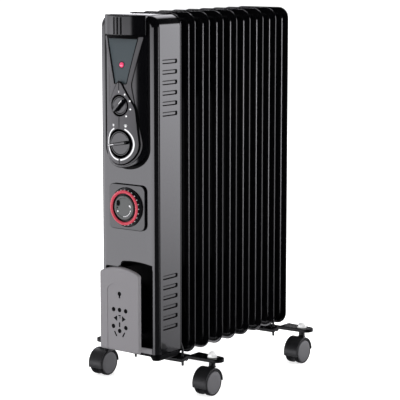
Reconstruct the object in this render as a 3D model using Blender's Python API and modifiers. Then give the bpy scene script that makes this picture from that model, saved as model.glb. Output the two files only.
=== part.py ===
"""Oil filled radiator heater: nine pressed fins, a front console with its controls, and four casters.

Metres, +Z up. The console faces -Y and the fins stack along +Y. Every part hangs from the empty
"datum", which stands on the floor under the middle plane of the first fin, so that the whole object
is centred on the origin.
"""

import math

import bmesh
import bpy
from mathutils import Vector

TAU = math.tau
CLEARANCE = 0.0003          # gap between pieces that touch
OVERCUT = 0.010             # how far a cutter reaches past what it cuts
SINK = 0.0005               # how deep a joined piece starts inside its host

# ---- radiator fins
FIN_COUNT = 9
FIN_PITCH = 0.0386
FIN_HALF_WIDTH = 0.059
FIN_BOTTOM_Z = 0.0546
FIN_TOP_Z = 0.620
FIN_CORNER_R = 0.020
FLANGE_THICKNESS = 0.0022
FLANGE_MARGIN = 0.0105      # flat welded rim around the oil pocket
POCKET_CORNER_R = FIN_CORNER_R - FLANGE_MARGIN * 0.6
POCKET_THICKNESS = 0.0100
HEADER_R = 0.0200
HEADER_BORE_R = 0.0145
HEADER_BORE_SIDES = 10
HEADER_LOW_Z = 0.130
HEADER_HIGH_Z = FIN_TOP_Z - 0.072
FRONT_COLLAR = 0.0120       # reach of the first fin's collars into the console
REAR_COLLAR = 0.0085        # reach of the last fin's collars behind it
PLUG_R = 0.0175
PLUG_HEAD = 0.0045
ELEMENT_WIRE_R = 0.0040
ELEMENT_HALF_SPACING = 0.0075
ELEMENT_TAIL = 0.0100       # cold ends in front of the flange
FLANGE_HEX_R = 0.0255
FLANGE_HEX_THICKNESS = 0.0070
PLUG_SPIGOT = 0.0050
PLUG_CHAMFER = 0.0015

# ---- console
CONSOLE_HALF_WIDTH = FIN_HALF_WIDTH - 0.0005
CONSOLE_FRONT_Y = -0.0630
CONSOLE_REAR_Y = -0.0016
CONSOLE_BOTTOM_Z = 0.0705
CONSOLE_TOP_Z = FIN_TOP_Z - 0.0015
CONSOLE_CORNER_R = 0.0100
CONSOLE_SHOULDER_R = 0.0200
SHEET = 0.0010
LOUVRE_COUNT = 6
LOUVRE_PITCH = 0.0167
LOUVRE_LENGTH = 0.0390
LOUVRE_HEIGHT = 0.0072
LOUVRE_Y = -0.0283
LOUVRE_GROUP_ZS = (CONSOLE_TOP_Z - 0.1157, 0.1540)
REAR_PLATE_FRONT_Y = -0.0095
REAR_PLATE_RAISE = 0.0040   # height of its lower edge above the wrap's
COVER_BOTTOM_Z = 0.0600
COVER_WALL = 0.0030
COVER_REAR_Y = -0.0065

# ---- bowed control panel, listed from the top down
PANEL_HALF_WIDTH = 0.0417
PANEL_TOP_Z = CONSOLE_TOP_Z - 0.0322
PANEL_END_HEIGHT = 0.0320
BOW_CENTRE_Y = -0.0178
PANEL_BOW_R = 0.0632
SURROUND_THICKNESS = 0.0020
DIAL_PLATE_THICKNESS = 0.0016
KNOB_POCKET_FLOOR_Y = -0.0720
WINDOW_HALF_WIDTH = 0.0300
WINDOW_TOP_Z = PANEL_TOP_Z - 0.0213
GRIP_TOP_Z = CONSOLE_TOP_Z - CLEARANCE
GRIP_FRONT_Y = -0.0878
GRIP_BOW_R = 0.0549
GRIP_GROOVE_PITCH = 0.0071
GRIP_GROOVE_WIDTH = 0.0018
GRIP_GROOVE_DEPTH = 0.0022
GRIP_GROOVE_STOP = 0.0035   # how far below the grip's top the grooves end
GRIP_LIP = 0.0050           # height of the finger gap under the grip's front
GRIP_LIP_FRONT = 0.0040     # wall left in front of the gap
GRIP_LIP_REAR = 0.0050      # reach of the gap behind the indicator plate

# ---- knobs, switch and thermostat
POWER_Z = PANEL_TOP_Z - 0.1113
POWER_KNOB_R = 0.0150
POWER_POCKET_R = POWER_KNOB_R + 0.0025
POWER_REST_ANGLE = math.radians(45)
THERMOSTAT_Z = POWER_Z - 0.0610
THERMOSTAT_KNOB_R = 0.0200
THERMOSTAT_POCKET_R = THERMOSTAT_KNOB_R + 0.0035
THERMOSTAT_REST_ANGLE = math.radians(180)
KNOB_FACE_Y = -0.0835
POWER_BLADE_Y = -0.0900
THERMOSTAT_BLADE_Y = -0.0925
BLADE_HALF_THICKNESS = 0.0032
BLADE_TIP_GAP = 0.0004      # from the pointed tip to the dial's edge
BLADE_FOOT = 0.0020         # how deep in the dial the blade starts
EDGE_CHAMFER = 0.0012
SHAFT_R = 0.0030
SHAFT_SINK = 0.0020         # how deep in the device's body the shaft starts
SWITCH_SIZE = (0.0320, 0.0240, 0.0320)
THERMOSTAT_SIZE = (0.0400, 0.0280, 0.0340)

# ---- hourglass surround, teardrop dial plate and indicator plate
SURROUND_TOP_HALF = 0.0393
SURROUND_TOP_Z = PANEL_TOP_Z - 0.0018
SURROUND_WAIST_HALF = 0.0205
SURROUND_WAIST_Z = POWER_Z + 0.0335
TEARDROP_APEX_Z = POWER_Z + 0.0425
TEARDROP_SHOULDER_HALF = 0.0275
TEARDROP_SHOULDER_Z = POWER_Z - 0.0035
TEARDROP_ROUND_R = THERMOSTAT_POCKET_R + 0.0095
SURROUND_ROUND_R = TEARDROP_ROUND_R + 0.0040
PANEL_BOTTOM_Z = THERMOSTAT_Z - SURROUND_ROUND_R - 0.0025
WINDOW_BOTTOM_Z = PANEL_BOTTOM_Z + 0.0135
SIDE_BLEND_R = 0.0300       # hollow curve in the sides of both outlines
BAND_MARGIN_DEG = 3
INDICATOR_TOP_HALF = 0.0305
INDICATOR_BOTTOM_HALF = 0.0119
INDICATOR_TOP_Z = PANEL_TOP_Z - 0.0053
INDICATOR_BOTTOM_Z = INDICATOR_TOP_Z - 0.0714
INDICATOR_THICKNESS = 0.0020
INDICATOR_MID_Y = -0.0770   # front face of the plate at half its height
INDICATOR_TILT = math.radians(4.7)
LAMP_Z = INDICATOR_BOTTOM_Z + 0.0299
LAMP_R = 0.0045
LAMP_RAISE = 0.0002         # height of the dome's edge above the plate
LAMP_RISE = 0.0018
LAMP_HOLDER_TAIL = 0.0100   # reach of the holder behind the panel
LAMP_HOLDER_R = LAMP_R - 0.0004

# ---- 24 hour timer
TIMER_Z = 0.3090
DIAL_BASE_R = 0.0312
BEZEL_HALF = DIAL_BASE_R + 0.0058
BEZEL_CORNER_R = 0.0100
BEZEL_FRONT_Y = -0.0672
DIAL_R = DIAL_BASE_R - 0.0027
DIAL_STEP_Y = -0.0680
DIAL_FRONT_Y = -0.0735
SEGMENT_RING_INNER_R = DIAL_R - 0.0050
TIMER_HUB_R = SEGMENT_RING_INNER_R - 0.0035
SEGMENT_RING_FRONT_Y = -0.0765
TIMER_CENTRE_FRONT_Y = -0.0750
RING_CHAMFER = 0.0006
HUB_CHAMFER = 0.0008
TIMER_BODY_HALF = 0.0290
TIMER_BODY_REAR_Y = -0.0350

# ---- cord storage
RECESS_HALF_WIDTH = 0.0490
RECESS_BOTTOM_Z = 0.0780
RECESS_SHOULDER_Z = 0.2171
RECESS_PEAK_Z = 0.2206
RECESS_PEAK_X = 0.0100
RECESS_LEDGE_Z = 0.2086     # its top is lower left of the step
RECESS_STEP_X = -0.0170
RECESS_STEP_R = 0.0070
RECESS_CORNER_R = 0.0040
TRAY_REAR_Y = -0.0370
TRAY_WALL = 0.0015
HUB_HALF_WIDTH = 0.0200
HUB_BOTTOM_Z = 0.0980
HUB_TOP_Z = 0.1780
CORD_PLATE_HALF = 0.0410
CORD_PLATE_BOTTOM_Z = 0.0745
CORD_PLATE_SHOULDER_Z = 0.2035
CORD_PLATE_PEAK_Z = 0.2135
CORD_PLATE_FRONT_Y = -0.0880
CORD_PLATE_DEPTH = 0.0070
CORD_PLATE_WALL = 0.0020
FIELD_HALF = 0.0250
FIELD_SHOULDER_Z = 0.1770
FIELD_PEAK_Z = 0.1880
FIELD_DEPTH = 0.0007
FIELD_EDGE = 0.0012         # rim left below the sunk field
KEYHOLE_Z = 0.1695
KEYHOLE_R = 0.0037
INLET_R = 0.0065
INLET_X = -0.0340
INLET_Z = 0.1000
KEYHOLE_DROP = 0.0073       # from the keyhole's centre to the end of its slot
HUB_CORNER_R = 0.0080
BUSH_BORE_R = 0.0040
BUSH_FLANGE = 0.0025
BUSH_FLANGE_R = INLET_R + 0.0025
BUSH_BARREL = 0.0040

# ---- electrical parts inside the console
TERMINAL_SIZE = (0.0440, 0.0160, 0.0180)
TERMINAL_Z = 0.2700
TIP_SWITCH_SIZE = (0.0300, 0.0180, 0.0160)
TIP_SWITCH_Z = 0.2350
CUTOUT_R = 0.0080
CUTOUT_THICKNESS = 0.0070
CUTOUT_CAP_R = CUTOUT_R * 0.6
CUTOUT_BASE = 0.0030
CUTOUT_Z = 0.3300

# ---- foot brackets, clamp rods and casters
FRONT_FOOT_Y = FIN_PITCH * 0.40                         # its rod passes between the first two fins
REAR_FOOT_Y = FIN_PITCH * (FIN_COUNT - 1 - 0.69)        # and this one between the last two
BRACKET_HALF_LENGTH = FIN_HALF_WIDTH + 0.0730
BRACKET_HALF_WIDTH = 0.0180
BRACKET_END_R = 0.0125
BRACKET_SHEET = 0.0020
BRACKET_INNER_TOP_Z = 0.0530
BRACKET_OUTER_TOP_Z = 0.0605
BRACKET_RIM = 0.0060
CRANK_INNER_X = FIN_HALF_WIDTH + 0.0020
CRANK_OUTER_X = CRANK_INNER_X + 0.0110
ROD_X = FIN_HALF_WIDTH - 0.0090
ROD_R = 0.0020
ROD_BOTTOM_Z = 0.0370
ROD_SHOULDER_Z = 0.0640
WING_NUT_HEIGHT = 0.0055
WING_NUT_HUB_R = 0.0048
WING_NUT_SPAN = 0.0230
WING_NUT_BLADE = 0.0032
WING_NUT_HUB_GAP_DEG = 12
SWIVEL_X = BRACKET_HALF_LENGTH - 0.0212
CASTER_TRAIL = 0.0123
WHEEL_R = 0.0218
CASTER_HALF_WIDTH = 0.01375
WEB_HALF = 0.0039
AXLE_R = 0.0030
FENDER_GAP = 0.0005
FENDER_WALL = 0.0020
FENDER_ARC_DEG = (0, 196)
WEB_HUB_R = 0.0085
STEM_R = 0.0038
STEM_COLLAR_R = 0.0062
DOME_NUT_ACROSS_CORNERS = 0.0150
DOME_NUT_HEX_HEIGHT = 0.0045
DOME_NUT_HEIGHT = 0.0092
DOME_R = DOME_NUT_ACROSS_CORNERS * 0.40
DOME_SINK = 0.0010          # how low inside the hexagon the dome starts
STEM_BORE_REACH = 0.0050    # overrun of the socket's cutter below the nut

# ---- derived places
FOOT_YS = {"front": FRONT_FOOT_Y, "rear": REAR_FOOT_Y}
FIN_SPAN = (FIN_COUNT - 1) * FIN_PITCH
REARMOST_Y = FIN_SPAN + REAR_COLLAR + CLEARANCE + PLUG_HEAD
DATUM_Y = -(THERMOSTAT_BLADE_Y + REARMOST_Y) / 2
PANEL_BACK_Y = CONSOLE_FRONT_Y - CLEARANCE
SURROUND_R = PANEL_BOW_R + CLEARANCE + SURROUND_THICKNESS
DIAL_PLATE_R = SURROUND_R + CLEARANCE + DIAL_PLATE_THICKNESS
FRONT_FACING = (math.pi / 2, 0, 0)                  # local Z turns to -Y
SIDE_FACING = (math.pi / 2, 0, math.pi / 2)         # local X, Y, Z turn to Y, Z, X
UPRIGHT = (0, 0, 0)

for old in list(bpy.data.objects):
    bpy.data.objects.remove(old, do_unlink=True)

parts = bpy.data.collections.new("oil_filled_radiator")
cutters = bpy.data.collections.new("cutters")
bpy.context.scene.collection.children.link(parts)
bpy.context.scene.collection.children.link(cutters)

datum = bpy.data.objects.new("datum", None)
datum.location = (0, DATUM_Y, 0)
parts.objects.link(datum)


# ---------------------------------------------------------------- materials
def material(name, colour, roughness, metallic=0.0):
    shader = bpy.data.materials.new(name)
    shader.use_nodes = True
    principled = shader.node_tree.nodes["Principled BSDF"]
    principled.inputs["Base Color"].default_value = (*colour, 1)
    principled.inputs["Roughness"].default_value = roughness
    principled.inputs["Metallic"].default_value = metallic
    return shader


BLACK_ENAMEL = material("black_enamel", (0.012, 0.012, 0.014), 0.18)
GLOSS_PLASTIC = material("gloss_black_plastic", (0.015, 0.015, 0.017), 0.22)
MATTE_PLASTIC = material("matte_black_plastic", (0.025, 0.025, 0.027), 0.45)
GREY_PLASTIC = material("grey_plastic", (0.09, 0.09, 0.10), 0.40)
RED_PLASTIC = material("red_plastic", (0.65, 0.03, 0.06), 0.35)
RED_LENS = material("red_lens", (0.80, 0.05, 0.12), 0.15)
BRIGHT_STEEL = material("bright_steel", (0.70, 0.70, 0.72), 0.25, 1.0)
PLAIN_STEEL = material("plain_steel", (0.42, 0.42, 0.44), 0.40, 1.0)


# ---------------------------------------------------------------- outlines
def rounded_outline(corners, steps=4):
    """Corners (x, y, radius) joined by straight runs, each corner replaced by an arc."""
    points = []
    for index, (x, y, radius) in enumerate(corners):
        here = Vector((x, y))
        if radius <= 0:
            points.append(here)
            continue
        back = (Vector(corners[index - 1][:2]) - here).normalized()
        ahead = (Vector(corners[(index + 1) % len(corners)][:2]) - here).normalized()
        half = back.angle(ahead) / 2
        centre = here + (back + ahead).normalized() * (radius / math.sin(half))
        start = here + back * (radius / math.tan(half)) - centre
        end = here + ahead * (radius / math.tan(half)) - centre
        first = math.atan2(start.y, start.x)
        sweep = (math.atan2(end.y, end.x) - first + math.pi) % TAU - math.pi
        for step in range(steps + 1):
            angle = first + sweep * step / steps
            points.append(centre + Vector((math.cos(angle), math.sin(angle))) * radius)
    return [tuple(point) for point in points]


def rectangle(half_width, bottom, top, radius=0.0, steps=4):
    corners = [(-half_width, bottom, radius), (half_width, bottom, radius),
               (half_width, top, radius), (-half_width, top, radius)]
    return rounded_outline(corners, steps)


def arc(centre, radius, first, last, steps):
    """Points on an arc from one angle to another, in degrees."""
    points = []
    for step in range(steps + 1):
        angle = math.radians(first + (last - first) * step / steps)
        points.append((centre[0] + radius * math.cos(angle), centre[1] + radius * math.sin(angle)))
    return points


def circle(x, y, radius, count=16):
    return arc((x, y), radius, 0, 360 - 360 / count, count - 1)


def arched(half_width, bottom, shoulder, peak, corner=0.004, steps=8):
    """A plate outline with square lower corners and a shallow arch on top."""
    rise = peak - shoulder
    bow = (half_width ** 2 + rise ** 2) / (2 * rise)
    reach = math.degrees(math.asin(half_width / bow))
    top = arc((0, peak - bow), bow, 90 - reach, 90 + reach, steps)
    foot = [(-half_width, bottom, corner), (half_width, bottom, corner)]
    corners = foot + [(x, y, 0) for x, y in top]
    return rounded_outline(corners, 3)


def mirrored(right_side):
    """A closed outline from its right side, listed from the bottom up."""
    return right_side + [(-x, y) for x, y in reversed(right_side) if x > 1e-6]


# ---------------------------------------------------------------- objects
def place(obj, location, rotation, collection, parent=None):
    collection.objects.link(obj)
    obj.parent = parent or datum
    obj.location = location
    obj.rotation_euler = rotation
    if collection is cutters:
        obj.hide_render = True
        obj.display_type = "WIRE"
    return obj


def mesh_part(name, mesh, shader, location=(0, 0, 0), rotation=UPRIGHT, parent=None, collection=parts):
    if shader:
        mesh.materials.clear()
        mesh.materials.append(shader)
    return place(bpy.data.objects.new(name, mesh), location, rotation, collection, parent)


def curve_to_mesh(curve, name):
    """The curve's filled solid as a welded mesh."""
    holder = bpy.data.objects.new(name + "_curve", curve)
    bpy.context.scene.collection.objects.link(holder)
    graph = bpy.context.evaluated_depsgraph_get()
    mesh = bpy.data.meshes.new_from_object(holder.evaluated_get(graph))
    bpy.data.objects.remove(holder, do_unlink=True)
    work = bmesh.new()
    work.from_mesh(mesh)
    bmesh.ops.remove_doubles(work, verts=work.verts, dist=0.00002)
    bmesh.ops.recalc_face_normals(work, faces=work.faces)
    work.to_mesh(mesh)
    work.free()
    mesh.name = name
    return mesh


def outline_mesh(name, loops, thickness):
    """A flat outline with its holes, extruded to a thickness centred on its plane."""
    curve = bpy.data.curves.new(name, "CURVE")
    curve.dimensions = "2D"
    curve.fill_mode = "BOTH"
    curve.extrude = thickness / 2
    for loop in loops:
        spline = curve.splines.new("POLY")
        spline.points.add(len(loop) - 1)
        for point, (x, y) in zip(spline.points, loop):
            point.co = (x, y, 0, 1)
        spline.use_cyclic_u = True
    return curve_to_mesh(curve, name)


def slab(name, loops, near, far, shader, facing="front", **options):
    """An outline extruded from one place to another along the axis it faces."""
    mesh = outline_mesh(name, loops, abs(far - near))
    middle = (near + far) / 2
    location = {"front": (0, middle, 0), "side": (middle, 0, 0), "up": (0, 0, middle)}[facing]
    rotation = {"front": FRONT_FACING, "side": SIDE_FACING, "up": UPRIGHT}[facing]
    return mesh_part(name, mesh, shader, location, rotation, **options)


def dome_profile(radius, height, rise):
    """From the top of a dome down to its edge, as (radius, height) points."""
    points = [(x, height + z * rise / radius) for x, z in arc((0, 0), radius, 90, 0, 3)]
    return [(0, points[0][1])] + points[1:]


def turned_mesh(name, profile):
    """The (radius, height) points of a turned body, joined in a line at +X."""
    mesh = bpy.data.meshes.new(name)
    points = [(radius, 0, height) for radius, height in profile]
    mesh.from_pydata(points, [(i, i + 1) for i in range(len(points) - 1)], [])
    return mesh


def turned(name, profile, shader, location, rotation=FRONT_FACING, steps=24, ring=False, **options):
    """A piece turned about its Z, its profile listed from the top down its outer side.

    A ring's profile closes on itself instead of on the axis.
    """
    points = list(profile) + ([profile[0]] if ring else [])
    obj = mesh_part(name, turned_mesh(name, points), shader, location, rotation, **options)
    screw = obj.modifiers.new("turn", "SCREW")
    screw.steps = steps
    screw.render_steps = steps
    screw.use_merge_vertices = True
    screw.merge_threshold = 0.00005
    if ring:
        weld = obj.modifiers.new("weld", "WELD")
        weld.merge_threshold = 0.00005
    return obj


def boolean(target, operand, operation="DIFFERENCE"):
    modifier = target.modifiers.new(operation.lower(), "BOOLEAN")
    modifier.operation = operation
    modifier.solver = "EXACT"
    modifier.object = operand
    return target


def cutter(name, loops, near, far, facing="front", parent=None):
    return slab("cut_" + name, loops, near, far, None, facing, collection=cutters, parent=parent)


def box_part(name, size, location, shader, bevel=0.0008):
    work = bmesh.new()
    bmesh.ops.create_cube(work, size=1)
    bmesh.ops.scale(work, verts=work.verts, vec=size)
    mesh = bpy.data.meshes.new(name)
    work.to_mesh(mesh)
    work.free()
    obj = mesh_part(name, mesh, shader, location)
    if bevel:
        edge = obj.modifiers.new("edges", "BEVEL")
        edge.width = bevel
        edge.segments = 1
    return obj


# ---------------------------------------------------------------- radiator body
def fin(index):
    """A fin: welded rim, raised oil pocket, and two header collars bored through."""
    plane_y = index * FIN_PITCH
    half_gap = CLEARANCE / 2
    front_reach = FRONT_COLLAR if index == 0 else FIN_PITCH / 2 - half_gap
    rear_reach = REAR_COLLAR if index == FIN_COUNT - 1 else FIN_PITCH / 2 - half_gap
    name = "fin_%d" % (index + 1)
    rim = rectangle(FIN_HALF_WIDTH, FIN_BOTTOM_Z, FIN_TOP_Z, FIN_CORNER_R, 3)
    pocket = rectangle(FIN_HALF_WIDTH - FLANGE_MARGIN, FIN_BOTTOM_Z + FLANGE_MARGIN,
                       FIN_TOP_Z - FLANGE_MARGIN, POCKET_CORNER_R, 2)
    half_flange = FLANGE_THICKNESS / 2
    half_pocket = POCKET_THICKNESS / 2
    body = slab(name, [rim], plane_y - half_flange, plane_y + half_flange, BLACK_ENAMEL)
    boolean(body, cutter(name + "_pocket", [pocket], plane_y - half_pocket, plane_y + half_pocket), "UNION")
    collars = [circle(0, z, HEADER_R, 14) for z in (HEADER_LOW_Z, HEADER_HIGH_Z)]
    boolean(body, cutter(name + "_collars", collars, plane_y - front_reach, plane_y + rear_reach), "UNION")
    bores = [circle(0, z, HEADER_BORE_R, HEADER_BORE_SIDES) for z in (HEADER_LOW_Z, HEADER_HIGH_Z)]
    boolean(body, cutter(name + "_bores", bores, plane_y - FIN_PITCH, plane_y + FIN_PITCH))
    return body


def header_plug(name, z, seat_y, outward):
    """A round plug whose spigot enters a header; outward is -1 in front and 1 behind."""
    spigot_r = HEADER_BORE_R * math.cos(math.pi / HEADER_BORE_SIDES) - CLEARANCE
    profile = [(0, PLUG_HEAD), (PLUG_R - PLUG_CHAMFER, PLUG_HEAD), (PLUG_R, PLUG_HEAD - PLUG_CHAMFER),
               (PLUG_R, 0), (spigot_r, 0), (spigot_r, -PLUG_SPIGOT), (0, -PLUG_SPIGOT)]
    turn = (outward * -math.pi / 2, 0, 0)
    return turned(name, profile, PLAIN_STEEL, (0, seat_y + outward * CLEARANCE, z), turn, 16)


def heating_element(flange_front):
    """A hairpin of sheathed tube along the lower header."""
    curve = bpy.data.curves.new("heating_element", "CURVE")
    curve.dimensions = "3D"
    curve.bevel_depth = ELEMENT_WIRE_R
    curve.bevel_resolution = 2
    curve.use_fill_caps = True
    far = FIN_SPAN - FIN_PITCH / 2
    path = [(ELEMENT_HALF_SPACING, flange_front - ELEMENT_TAIL)]
    path += arc((0, far), ELEMENT_HALF_SPACING, 0, 180, 6)
    path.append((-ELEMENT_HALF_SPACING, flange_front - ELEMENT_TAIL))
    spline = curve.splines.new("POLY")
    spline.points.add(len(path) - 1)
    for point, (x, y) in zip(spline.points, path):
        point.co = (x, y, 0, 1)
    mesh = curve_to_mesh(curve, "heating_element")
    return mesh_part("heating_element", mesh, PLAIN_STEEL, (0, 0, HEADER_LOW_Z))


def radiator_body():
    for index in range(FIN_COUNT):
        fin(index)
    flange_rear = -FRONT_COLLAR - CLEARANCE
    flange_front = flange_rear - FLANGE_HEX_THICKNESS
    tube_holes = [circle(x, HEADER_LOW_Z, ELEMENT_WIRE_R + 2 * CLEARANCE, 10)
                  for x in (-ELEMENT_HALF_SPACING, ELEMENT_HALF_SPACING)]
    hexagon = circle(0, HEADER_LOW_Z, FLANGE_HEX_R, 6)
    slab("element_flange", [hexagon] + tube_holes, flange_front, flange_rear, PLAIN_STEEL)
    heating_element(flange_front)
    header_plug("upper_front_plug", HEADER_HIGH_Z, -FRONT_COLLAR, -1)
    header_plug("filler_plug", HEADER_HIGH_Z, FIN_SPAN + REAR_COLLAR, 1)
    header_plug("rear_lower_plug", HEADER_LOW_Z, FIN_SPAN + REAR_COLLAR, 1)


# ---------------------------------------------------------------- console
def console_shell():
    """Bent steel wrap, open behind and below, with louvres in both sides and windows in its front."""
    work = bmesh.new()
    bmesh.ops.create_cube(work, size=1)
    depth = CONSOLE_REAR_Y - CONSOLE_FRONT_Y
    height = CONSOLE_TOP_Z - CONSOLE_BOTTOM_Z
    bmesh.ops.scale(work, verts=work.verts, vec=(2 * CONSOLE_HALF_WIDTH, depth, height))
    bmesh.ops.translate(work, verts=work.verts,
                        vec=(0, CONSOLE_FRONT_Y + depth / 2, CONSOLE_BOTTOM_Z + height / 2))

    def at(value, target):
        return abs(value - target) < 1e-6

    top_sides = [e for e in work.edges if all(at(v.co.z, CONSOLE_TOP_Z) for v in e.verts)
                 and at(e.verts[0].co.x, e.verts[1].co.x)]
    bmesh.ops.bevel(work, geom=top_sides, offset=CONSOLE_SHOULDER_R, segments=5, profile=0.5,
                    affect="EDGES")
    front_rim = [e for e in work.edges if all(at(v.co.y, CONSOLE_FRONT_Y) for v in e.verts)
                 and not all(at(v.co.z, CONSOLE_BOTTOM_Z) for v in e.verts)]
    bmesh.ops.bevel(work, geom=front_rim, offset=CONSOLE_CORNER_R, segments=3, profile=0.5, affect="EDGES")
    open_sides = [f for f in work.faces if all(at(v.co.y, CONSOLE_REAR_Y) for v in f.verts)
                  or all(at(v.co.z, CONSOLE_BOTTOM_Z) for v in f.verts)]
    bmesh.ops.delete(work, geom=open_sides, context="FACES")
    mesh = bpy.data.meshes.new("console_shell")
    work.to_mesh(mesh)
    work.free()
    shell = mesh_part("console_shell", mesh, BLACK_ENAMEL)
    wall = shell.modifiers.new("sheet", "SOLIDIFY")
    wall.thickness = SHEET
    wall.offset = -1
    wall.use_even_offset = True

    slots = []
    for group_z in LOUVRE_GROUP_ZS:
        for step in range(LOUVRE_COUNT):
            z = group_z + (step - (LOUVRE_COUNT - 1) / 2) * LOUVRE_PITCH
            half = LOUVRE_HEIGHT / 2
            slot = rectangle(LOUVRE_LENGTH / 2, z - half, z + half, half * 0.8, 1)
            slots.append([(LOUVRE_Y + y, z) for y, z in slot])
    reach = CONSOLE_HALF_WIDTH + OVERCUT
    boolean(shell, cutter("louvres", slots, -reach, reach, "side"))
    windows = [rectangle(WINDOW_HALF_WIDTH, WINDOW_BOTTOM_Z, WINDOW_TOP_Z),
               rectangle(TIMER_BODY_HALF + CLEARANCE, TIMER_Z - TIMER_BODY_HALF - CLEARANCE,
                         TIMER_Z + TIMER_BODY_HALF + CLEARANCE),
               recess_outline(0)]
    boolean(shell, cutter("windows", windows, CONSOLE_FRONT_Y - OVERCUT, CONSOLE_FRONT_Y + OVERCUT))
    return shell


def console_inside():
    """Rear plate and the electrical parts mounted on it."""
    half = CONSOLE_HALF_WIDTH - SHEET - CLEARANCE
    top = CONSOLE_TOP_Z - SHEET - CLEARANCE
    corner = CONSOLE_SHOULDER_R - SHEET
    bottom = CONSOLE_BOTTOM_Z + REAR_PLATE_RAISE
    outline = rounded_outline([(-half, bottom, 0), (half, bottom, 0),
                               (half, top, corner), (-half, top, corner)], 5)
    hole = HEADER_R + 3 * CLEARANCE
    slab("console_rear_plate", [outline, circle(0, HEADER_LOW_Z, hole), circle(0, HEADER_HIGH_Z, hole)],
         REAR_PLATE_FRONT_Y, REAR_PLATE_FRONT_Y + SHEET, PLAIN_STEEL)
    mount_y = REAR_PLATE_FRONT_Y - CLEARANCE
    box_part("terminal_block", TERMINAL_SIZE, (0, mount_y - TERMINAL_SIZE[1] / 2, TERMINAL_Z), GREY_PLASTIC)
    box_part("tip_over_switch", TIP_SWITCH_SIZE, (0, mount_y - TIP_SWITCH_SIZE[1] / 2, TIP_SWITCH_Z),
             MATTE_PLASTIC)
    cutout_profile = [(0, CUTOUT_THICKNESS), (CUTOUT_CAP_R, CUTOUT_THICKNESS), (CUTOUT_CAP_R, CUTOUT_BASE),
                      (CUTOUT_R, CUTOUT_BASE), (CUTOUT_R, 0), (0, 0)]
    turned("thermal_cutout", cutout_profile, PLAIN_STEEL, (0, mount_y, CUTOUT_Z), FRONT_FACING, 14)


def console_bottom_cover():
    """Moulded pan that closes the console below, with a rounded front."""
    def plan(inset):
        half = CONSOLE_HALF_WIDTH - inset
        front = CONSOLE_FRONT_Y + inset
        rear = COVER_REAR_Y - inset
        corner = CONSOLE_CORNER_R - inset
        return rounded_outline([(-half, rear, 0), (-half, front, corner),
                                (half, front, corner), (half, rear, 0)], 3)

    top = CONSOLE_BOTTOM_Z - CLEARANCE
    cover = slab("console_bottom_cover", [plan(0)], COVER_BOTTOM_Z, top, MATTE_PLASTIC, "up")
    inside = cutter("cover_inside", [plan(COVER_WALL)], COVER_BOTTOM_Z + COVER_WALL, top + OVERCUT, "up")
    return boolean(cover, inside)


# ---------------------------------------------------------------- bowed control panel
def bow_outline(radius, centre_y, back_y, half_width, steps=12):
    """Plan of a bowed moulding: flat back, straight sides and a curved front."""
    reach = math.degrees(math.asin(half_width / radius))
    front = arc((0, centre_y), radius, 270 - reach, 270 + reach, steps)
    return front + [(half_width, back_y), (-half_width, back_y)]


def bow_band(name, inner, outer, steps=12):
    """Cutter between two bowed surfaces, taller and wider than the panel."""
    reach = math.degrees(math.asin(PANEL_HALF_WIDTH / PANEL_BOW_R)) + BAND_MARGIN_DEG
    centre = (0, BOW_CENTRE_Y)
    plan = arc(centre, inner, 270 - reach, 270 + reach, steps)
    plan += arc(centre, outer, 270 + reach, 270 - reach, steps)
    return cutter(name, [plan], PANEL_BOTTOM_Z - OVERCUT, PANEL_TOP_Z + OVERCUT, "up")


def surround_outline():
    round_side = arc((0, THERMOSTAT_Z), SURROUND_ROUND_R, -90, 12, 10)
    waist = rounded_outline([round_side[-1] + (0,), (SURROUND_WAIST_HALF, SURROUND_WAIST_Z, SIDE_BLEND_R),
                             (SURROUND_TOP_HALF, SURROUND_TOP_Z, 0), (0, SURROUND_TOP_Z, 0)], 4)
    return mirrored(round_side + waist[1:])


def teardrop_outline():
    round_side = arc((0, THERMOSTAT_Z), TEARDROP_ROUND_R, -90, 8, 9)
    shoulder = rounded_outline([round_side[-1] + (0,),
                                (TEARDROP_SHOULDER_HALF, TEARDROP_SHOULDER_Z, SIDE_BLEND_R),
                                (0, TEARDROP_APEX_Z, 0)], 3)
    return mirrored(round_side + shoulder[1:])


def indicator_outline(grow=0.0):
    half_height = (INDICATOR_TOP_Z - INDICATOR_BOTTOM_Z) / 2 + grow
    top = INDICATOR_TOP_HALF + grow
    bottom = INDICATOR_BOTTOM_HALF + grow
    return [(-bottom, -half_height), (bottom, -half_height), (top, half_height), (-top, half_height)]


def tilted(obj):
    """Lay a front-facing piece on the indicator plate's slope."""
    obj.rotation_euler = (math.pi / 2 - INDICATOR_TILT, 0, 0)
    return obj


def indicator_place(depth, z):
    """A point behind the indicator plate's sloping front, square to it, from a height on its front."""
    middle_z = (INDICATOR_TOP_Z + INDICATOR_BOTTOM_Z) / 2
    outward = Vector((0, -math.cos(INDICATOR_TILT), math.sin(INDICATOR_TILT)))
    on_front = Vector((0, INDICATOR_MID_Y + (z - middle_z) * math.tan(INDICATOR_TILT), z))
    return on_front - outward * depth


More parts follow.
